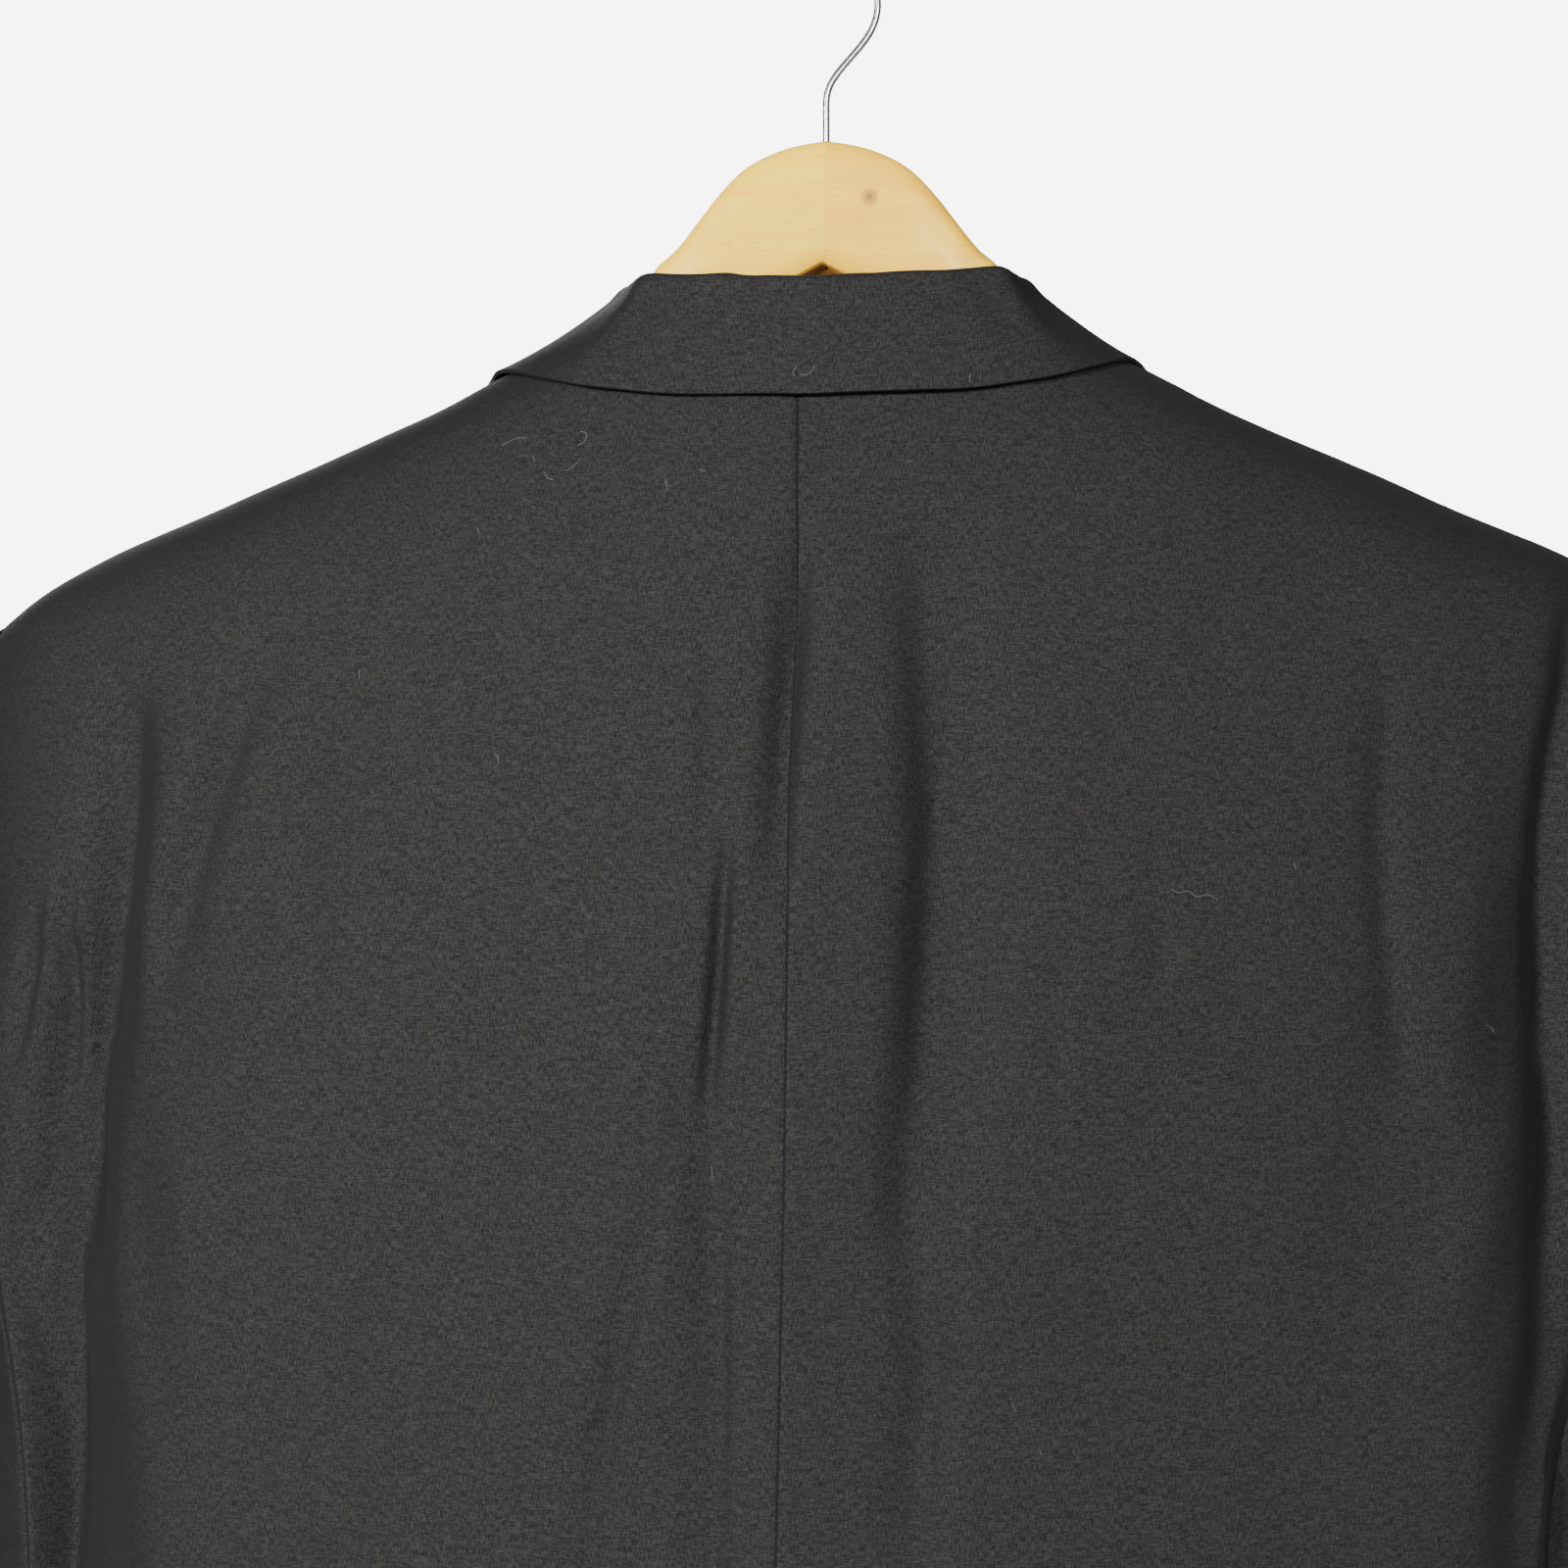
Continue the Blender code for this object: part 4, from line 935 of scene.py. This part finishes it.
# %% Hanger halves
POINTS_BETWEEN = 4
SECTIONS_BETWEEN = 5
NOTCH_REACH = 0.020
UNDERSIDE_DROP = 0.0038
JOINT_GAP = 0.00002
SAME_SECTION = 0.00002
SAME_POINT = 1e-7
SHARP_ANGLE = math.radians(50)


def points_of(name):
    shape = merged_copy(name)
    points = np.array([v.co[:] for v in shape.verts])
    shape.free()
    return points


def rings_of(name):
    """The sections of a hanger half, from the middle to the end, each in order round the wood."""
    points = points_of(name)
    rings = []
    for x in np.unique(np.round(np.abs(points[:, 0]), 5)):
        ring = points[np.abs(np.abs(points[:, 0]) - x) < SAME_SECTION]
        middle = ring.mean(axis=0)
        turn_of = np.arctan2(ring[:, 2] - middle[2], ring[:, 1] - middle[1])
        rings.append(ring[np.argsort(turn_of)])
    return np.array(rings)


def piece_from(name, shape, material):
    """An object from a bmesh, which is used up."""
    mesh = bpy.data.meshes.new(name)
    shape.to_mesh(mesh)
    shape.free()
    mesh.shade_smooth()
    mesh.materials.append(material)
    return placed(name, mesh)


def round_piece(name, rings, material):
    """A solid through closed rings, with both ends filled."""
    rows, columns = rings.shape[:2]
    shape = bmesh.new()
    bmesh.ops.create_grid(shape, x_segments=columns, y_segments=rows - 1, size=1.0)
    for i, vert in enumerate(shape.verts):
        vert.co = rings[i // (columns + 1)][i % (columns + 1) % columns]
    bmesh.ops.remove_doubles(shape, verts=shape.verts[:], dist=SAME_POINT)
    bmesh.ops.edgeloop_fill(shape, edges=[e for e in shape.edges if e.is_boundary])
    bmesh.ops.recalc_face_normals(shape, faces=shape.faces[:])
    piece = piece_from(name, shape, material)
    piece.data.set_sharp_from_angle(angle=SHARP_ANGLE)
    return piece


def round_and_smooth(rings):
    """More points round each section, and more sections."""
    wrapped = np.concatenate([rings[:, -3:], rings, rings[:, :3]], axis=1)
    round_at = 3 + np.arange(0, rings.shape[1], 1 / POINTS_BETWEEN)
    fine = smooth_lines(wrapped.transpose(1, 0, 2), round_at).transpose(1, 0, 2)
    return smooth_lines(fine, fractions(len(rings), SECTIONS_BETWEEN))


def fitted(rings, side):
    """The halves brought together at the joint, with the far side of the notch a little lower."""
    moved = rings.copy()
    moved[0, :, 0] = side * JOINT_GAP
    middle = moved.mean(axis=1, keepdims=True)
    below = (moved[..., 2] < middle[..., 2]) & (moved[..., 1] < middle[..., 1])
    near = np.clip(1 - np.abs(moved[..., 0]) / NOTCH_REACH, 0, 1)
    moved[..., 2] -= np.where(below, UNDERSIDE_DROP * near, 0.0)
    return moved


# %% [markdown]
# The wood is lacquered, with long fine grain, short pores and a small knot. The notch is painted
# dark brown as painted shade, with a brown outline. The grain follows the slope of the hanger's arms.

# %% Beech
KNOT = (-0.0168, 0.0075, -0.0936)
NOTCH = (0.0016, -0.1174)
NOTCH_SLOPE = 0.54
GRAIN_TURN = (0, math.radians(-34), 0)


def beech(name, light, dark, seed):
    material, tree, shader = new_material(name, Roughness=0.42, Coat_Weight=0.12, Coat_Roughness=0.18,
                                          Specular_IOR_Level=0.3)
    place = object_place(tree)
    along = add_node(tree, "ShaderNodeMapping", None, Vector=place, Location=(seed, seed, seed),
                     Rotation=GRAIN_TURN, Scale=(9.0, 60.0, 130.0)).outputs[0]
    short = add_node(tree, "ShaderNodeMapping", None, Vector=place, Rotation=GRAIN_TURN,
                     Scale=(160.0, 900.0, 1500.0)).outputs[0]
    grain = noise(tree, along, 1.0, Detail=4.0, Roughness=0.55, Distortion=0.6)
    pores = noise(tree, short, 1.0, Detail=1.0)
    colour = blended(tree, spread(tree, grain, 0.35, 0.65), light, dark)
    colour = blended(tree, spread(tree, pores, 0.62, 0.75, 0.0, 0.5), colour, "#c08a4a")
    away = add_node(tree, "ShaderNodeVectorMath", {"operation": "DISTANCE"}, in0=place, in1=KNOT)
    ring = math_of(tree, "SINE", math_of(tree, "MULTIPLY", away.outputs["Value"], 2600.0))
    knot = spread(tree, away.outputs["Value"], 0.0012, 0.0045, 0.55, 0.0, "SMOOTHSTEP")
    ringed = math_of(tree, "MULTIPLY", knot, math_of(tree, "MULTIPLY_ADD", ring, 0.25, 1.5))
    colour = blended(tree, ringed, colour, "#8a5a2c")
    spot = parts_of(tree, place)
    # painted shade: below the notch's roof the wood is painted a brown edge and then dark brown, as the
    # shade under the hanger
    aside = math_of(tree, "ABSOLUTE", math_of(tree, "SUBTRACT", spot[0], NOTCH[0]))
    roof = math_of(tree, "MULTIPLY_ADD", aside, -NOTCH_SLOPE, NOTCH[1])
    notch_shade_depth = math_of(tree, "SUBTRACT", roof, spot[2])
    colour = blended(tree, spread(tree, notch_shade_depth, 0.0, 0.0003), colour, "#a87428")
    colour = blended(tree, spread(tree, notch_shade_depth, 0.0006, 0.0016, 0.0, 0.85), colour, "#4a260c")
    return finished(material, shader, colour, pores, 0.06, 0.0003)


woods = {"left": beech("pale beech, left half", "#ffd528", "#fdc41e", 0.3),
         "right": beech("pale beech, right half", "#ffcb20", "#f8b818", 2.1)}
for word, side in SIDES:
    rings = fitted(round_and_smooth(rings_of(f"hanger_{word}")), side)
    piece = round_piece(f"hanger_{word}_wood", rings, woods[word])
    stand_in(piece, f"hanger_{word}")
    print(piece.name, len(piece.data.polygons), "faces")

# %% [markdown]
# The hook is bright wire that comes straight up out of the wood, bends aside and goes round the
# crook. It follows the same route as the CAD wire, with a rounder section and a rounded tip.

# %% Hook
CROOK_RADIUS = 0.0198
CROOK_ANGLES = (183, 18)
CROOK_POINTS = 37
HOOK_BETWEEN = 2
WIRE_RADIUS = 0.0014
WIRE_SIDES = 16
TIP_STEPS = 3
TIP_LEAST = 0.02
SHANK = ((0.0, -0.0722), (0.0, -0.0620), (0.0, -0.0555), (-0.0006, -0.0515), (-0.0024, -0.0475),
         (-0.0072, -0.0412), (-0.0128, -0.0348), (-0.0168, -0.0292), (-0.0190, -0.0240))


def bright_wire():
    material, tree, shader = new_material("bright steel wire", Metallic=1.0)
    scuffs = noise(tree, object_place(tree), 900.0, Detail=3.0)
    set_inputs(shader, Base_Color=blended(tree, scuffs, "#b8b9bc", "#dcdcde"),
               Roughness=spread(tree, scuffs, 0.0, 1.0, 0.14, 0.34))
    return material


def tube_rings(line, radii, reference, sides):
    """Closed rings round a line of points."""
    ahead = np.gradient(line, axis=0)
    ahead /= lengths(ahead)
    side = np.cross(ahead, reference)
    side /= lengths(side)
    other = np.cross(side, ahead)
    angles = np.linspace(0, 2 * math.pi, sides, endpoint=False)[None, :, None]
    ring = np.cos(angles) * side[:, None] + np.sin(angles) * other[:, None]
    return line[:, None] + ring * np.array(radii)[:, None, None]


def hook_rings():
    """The wire's route is the shank and then the crook, and its radius falls off at the tip."""
    centre = WIRE_RADIUS - CROOK_RADIUS
    angles = np.radians(np.linspace(*CROOK_ANGLES, CROOK_POINTS))
    crook = [(CROOK_RADIUS * math.cos(a), centre + CROOK_RADIUS * math.sin(a)) for a in angles]
    route = np.array([[(x, 0.0, z)] for x, z in (*SHANK, *crook)])
    line = smooth_lines(route, fractions(len(route), HOOK_BETWEEN))[:, 0]
    left = np.arange(len(line))[::-1]
    tip = np.sqrt(np.clip(1 - (1 - np.minimum(left, TIP_STEPS) / TIP_STEPS) ** 2, TIP_LEAST, 1))
    return tube_rings(line, WIRE_RADIUS * tip, (0.0, 1.0, 0.0), WIRE_SIDES)


hook = round_piece("hanger_hook_wire", hook_rings(), bright_wire())
stand_in(hook, "hanger_hook")
print("hook", len(hook.data.polygons), "faces")

# %% [markdown]
# The buttons are turned from black horn: a flat back, a rounded rim and a dished face. Each takes
# its place, way and size from the CAD button that it replaces. Two bars of thread hold it. The
# profile gives shares of the button's radius and thickness.

# %% Buttons
BUTTON_PROFILE = ((0.02, 0.0), (0.80, 0.0), (0.93, 0.08), (0.99, 0.30), (1.0, 0.55), (0.97, 0.80),
                  (0.90, 0.96), (0.82, 1.0), (0.74, 0.93), (0.66, 0.80), (0.58, 0.74), (0.02, 0.72))
BUTTON_SIDES = 48
EYE_APART = 0.26
THREAD = 0.00035
BAR_REACH = 1.25
BAR_TOP = 1.4
BAR_DIP = 3.2
BAR_POINTS = 13
BAR_SIDES = 8
CUFF_INSIDE = (0.37, -0.11, -0.85)


def horn():
    material, tree, shader = new_material("turned black horn", Roughness=0.3, Coat_Weight=0.2,
                                          Coat_Roughness=0.15)
    cloud = noise(tree, object_place(tree), 240.0, Detail=4.0, Distortion=1.2)
    scratches = noise(tree, object_place(tree), 2600.0)
    colour = blended(tree, cloud, "#0b0a0a", "#2a2520")
    return finished(material, shader, colour, scratches, 0.05, 0.0002)


def twisted_thread():
    material, tree, shader = new_material("black twisted thread", Roughness=0.7, Sheen_Weight=0.15)
    twist = add_node(tree, "ShaderNodeTexWave", {"bands_direction": "DIAGONAL"},
                     Vector=object_place(tree), Scale=1400.0, Distortion=0.6).outputs["Fac"]
    colour = blended(tree, twist, "#101011", "#2c2c2e")
    return finished(material, shader, colour, twist, 0.3, 0.0001)


def axes_of(points, inside):
    """Middle of a flat round thing, the way it faces and two ways across it."""
    middle = (points.max(axis=0) + points.min(axis=0)) / 2
    ways = np.linalg.svd(points - points.mean(axis=0), full_matrices=False)[2]
    facing = ways[2] if ways[2] @ (middle - inside) > 0 else -ways[2]
    level = np.cross(facing, (0.0, 0.0, 1.0))
    level /= lengths(level)
    return middle, facing, level, np.cross(level, facing)


def joined(name, parts, material):
    """One piece from several closed tubes."""
    whole = bmesh.new()
    for i, rings in enumerate(parts):
        part = round_piece(f"{name}_{i}", rings, material)
        mesh = part.data
        whole.from_mesh(mesh)
        bpy.data.objects.remove(part)
        bpy.data.meshes.remove(mesh)
    return piece_from(name, whole, material)


def make_button(name, inside):
    points = points_of(name)
    middle, facing, level, upright = axes_of(points, np.array(inside))
    heights = (points - middle) @ facing
    radius = lengths(np.cross(points - middle, facing)).max()
    seat = middle + facing * heights.min()
    thick = heights.max() - heights.min()
    angles = np.linspace(0, 2 * math.pi, BUTTON_SIDES, endpoint=False)[:, None]
    round_way = np.cos(angles) * level + np.sin(angles) * upright
    rings = [seat + facing * h * thick + round_way * r * radius for r, h in BUTTON_PROFILE]
    button = round_piece(f"{name}_horn", np.array(rings), black_horn)
    face = seat + facing * thick * BUTTON_PROFILE[-1][1]
    half = EYE_APART / 2 * radius
    t = np.linspace(-1, 1, BAR_POINTS)[:, None]
    bar = face + upright * half * BAR_REACH * t + facing * THREAD * (BAR_TOP - BAR_DIP * t**4)
    bars = [tube_rings(bar + level * aside, [THREAD] * BAR_POINTS, level, BAR_SIDES)
            for aside in (-half, half)]
    for piece in (button, joined(f"{name}_thread", bars, black_thread)):
        stand_in(piece, name)


black_horn = horn()
black_thread = twisted_thread()
for number in (1, 2):
    make_button(f"front_button_{number}", BODY_INSIDE)
for word, side in SIDES:
    for number in (1, 2, 3, 4):
        make_button(f"cuff_button_{word}_{number}", mirrored(CUFF_INSIDE, side))

# %% [markdown]
# A few pale fibres lie on the back, as on any black coat that has been handled. Each is placed
# where the photograph shows it: a line of sight through a pixel meets the cloth there.

# %% Fibres on the cloth
FIBRES = (
    ((811, 384), (809, 379), (813, 375)),
    ((816, 382), (822, 383), (827, 380), (831, 374)),
    ((512, 455), (522, 450), (530, 447), (537, 448)),
    ((590, 455), (598, 449), (598, 442), (592, 441)),
    ((555, 481), (559, 488), (565, 490)),
    ((577, 481), (585, 476), (592, 469)),
    ((544, 465), (546, 472)),
    ((487, 539), (490, 545)),
    ((713, 480), (720, 481)),
    ((679, 489), (681, 500)),
    ((925, 472), (931, 470)),
    ((990, 382), (989, 390)),
    ((505, 769), (509, 775), (507, 782)),
    ((1195, 907), (1203, 911), (1212, 909), (1220, 915), (1232, 913), (1242, 918)),
    ((1516, 1046), (1521, 1048), (1524, 1054)),
    ((726, 1189), (727, 1203)),
    ((1032, 1431), (1036, 1439)),
    ((367, 684), (367, 692)),
    ((1060, 1478), (1063, 1485)),
    ((1320, 880), (1322, 887)),
)
COLLAR_EDGE = 395
FIBRE = 0.00006
FIBRE_LIFT = 0.00025
FIBRE_SIDES = 6
FIBRE_BETWEEN = 4
EYE_WEIGHT = 4000


def on_cloth(pixel, sheets):
    """Where a line of sight meets the nearest sheet of cloth."""
    aside, up = pixel[0] - PICTURE / 2, PICTURE / 2 - pixel[1]
    sight = TOWARDS + (RIGHT * aside + np.array((0.0, 0.0, 1.0)) * up) / PIXELS_PER_METRE
    found = []
    for net, outward in sheets:
        across_by, down = on_photo(net)
        miss = np.hypot(across_by - pixel[0], down - pixel[1])
        spot = np.unravel_index(np.argmin(miss), miss.shape)
        way = ((net[spot] - EYE) @ outward[spot]) / (sight @ outward[spot])
        rank = miss[spot] + EYE_WEIGHT * lengths(net[spot] - EYE)[0]
        found.append((rank, EYE + sight * way + outward[spot] * FIBRE_LIFT))
    return min(found, key=lambda one: one[0])[1]


lines = []
for fibre in FIBRES:
    sheets = falls if fibre[0][1] < COLLAR_EDGE else backs
    spots = np.array([[on_cloth(pixel, sheets)] for pixel in fibre])
    line = smooth_lines(spots, fractions(len(spots), FIBRE_BETWEEN))[:, 0]
    lines.append(tube_rings(line, [FIBRE] * len(line), (0.0, 1.0, 0.0), FIBRE_SIDES))
pale = new_material("pale loose fibre", Roughness=0.8, Base_Color="#6e6f6b")[0]
lint = joined("fibres", lines, pale)
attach(lint, "root")
print("fibres:", len(lines), "with", len(lint.data.polygons), "faces")

# %% [markdown]
# A plain pale floor and soft studio light. The folds in the photograph are dark on the left and
# pale on the right, and the tops of the shoulders are dark: so the large lamp stands level with
# the coat, on the left of the camera. A weaker one stands on the right, and one lights the front.
# The surround lights the coat softly, and the camera sees it and the floor lit on their own.

# %% Floor and light
FLOOR = -1.60
FLOOR_SIZE = 40.0
FLOOR_GLOW = 1.6
WALL = 7.0
SURROUND = 0.22
LAMPS = (
    # name, place, point it is aimed at, size and power
    ("key", (1.10, 1.58, 0.16), (0, 0.1, -0.65), 0.32, 73),
    ("fill", (-0.72, 2.05, 0.30), (0, 0, -0.70), 0.5, 44),
    ("front key", (0.9, -2.4, 0.6), (0, 0, -0.5), 1.6, 90),
)


def camera_ray(tree):
    return add_node(tree, "ShaderNodeLightPath").outputs["Is Camera Ray"]


def make_floor():
    shape = bmesh.new()
    bmesh.ops.create_grid(shape, x_segments=1, y_segments=1, size=FLOOR_SIZE)
    for vert in shape.verts:
        vert.co.z = FLOOR
    material, tree, shader = new_material("pale floor", Roughness=0.9, Base_Color="#eeeeee",
                                          Emission_Color="#ffffff")
    set_inputs(shader, Emission_Strength=math_of(tree, "MULTIPLY", camera_ray(tree), FLOOR_GLOW))
    piece_from("floor", shape, material)


def make_world():
    world = bpy.data.worlds.new("studio")
    world.use_nodes = True
    tree = world.node_tree
    soft = set_inputs(tree.nodes["Background"], Color="#e9ecf4", Strength=SURROUND)
    wall = add_node(tree, "ShaderNodeBackground", None, Color="#ffffff", Strength=WALL)
    either = add_node(tree, "ShaderNodeMixShader", None, in0=camera_ray(tree), in1=soft.outputs[0],
                      in2=wall.outputs[0])
    set_inputs(tree.nodes["World Output"], Surface=either.outputs[0])
    bpy.context.scene.world = world


def add_lamp(name, place, aim, size, power):
    lamp = bpy.data.lights.new(name, "AREA")
    lamp.shape = "DISK"
    lamp.size = size
    lamp.energy = power
    placed(name, lamp, place, Vector(aim) - Vector(place))


make_floor()
make_world()
for lamp in LAMPS:
    add_lamp(*lamp)
print("lamps:", ", ".join(lamp[0] for lamp in LAMPS))
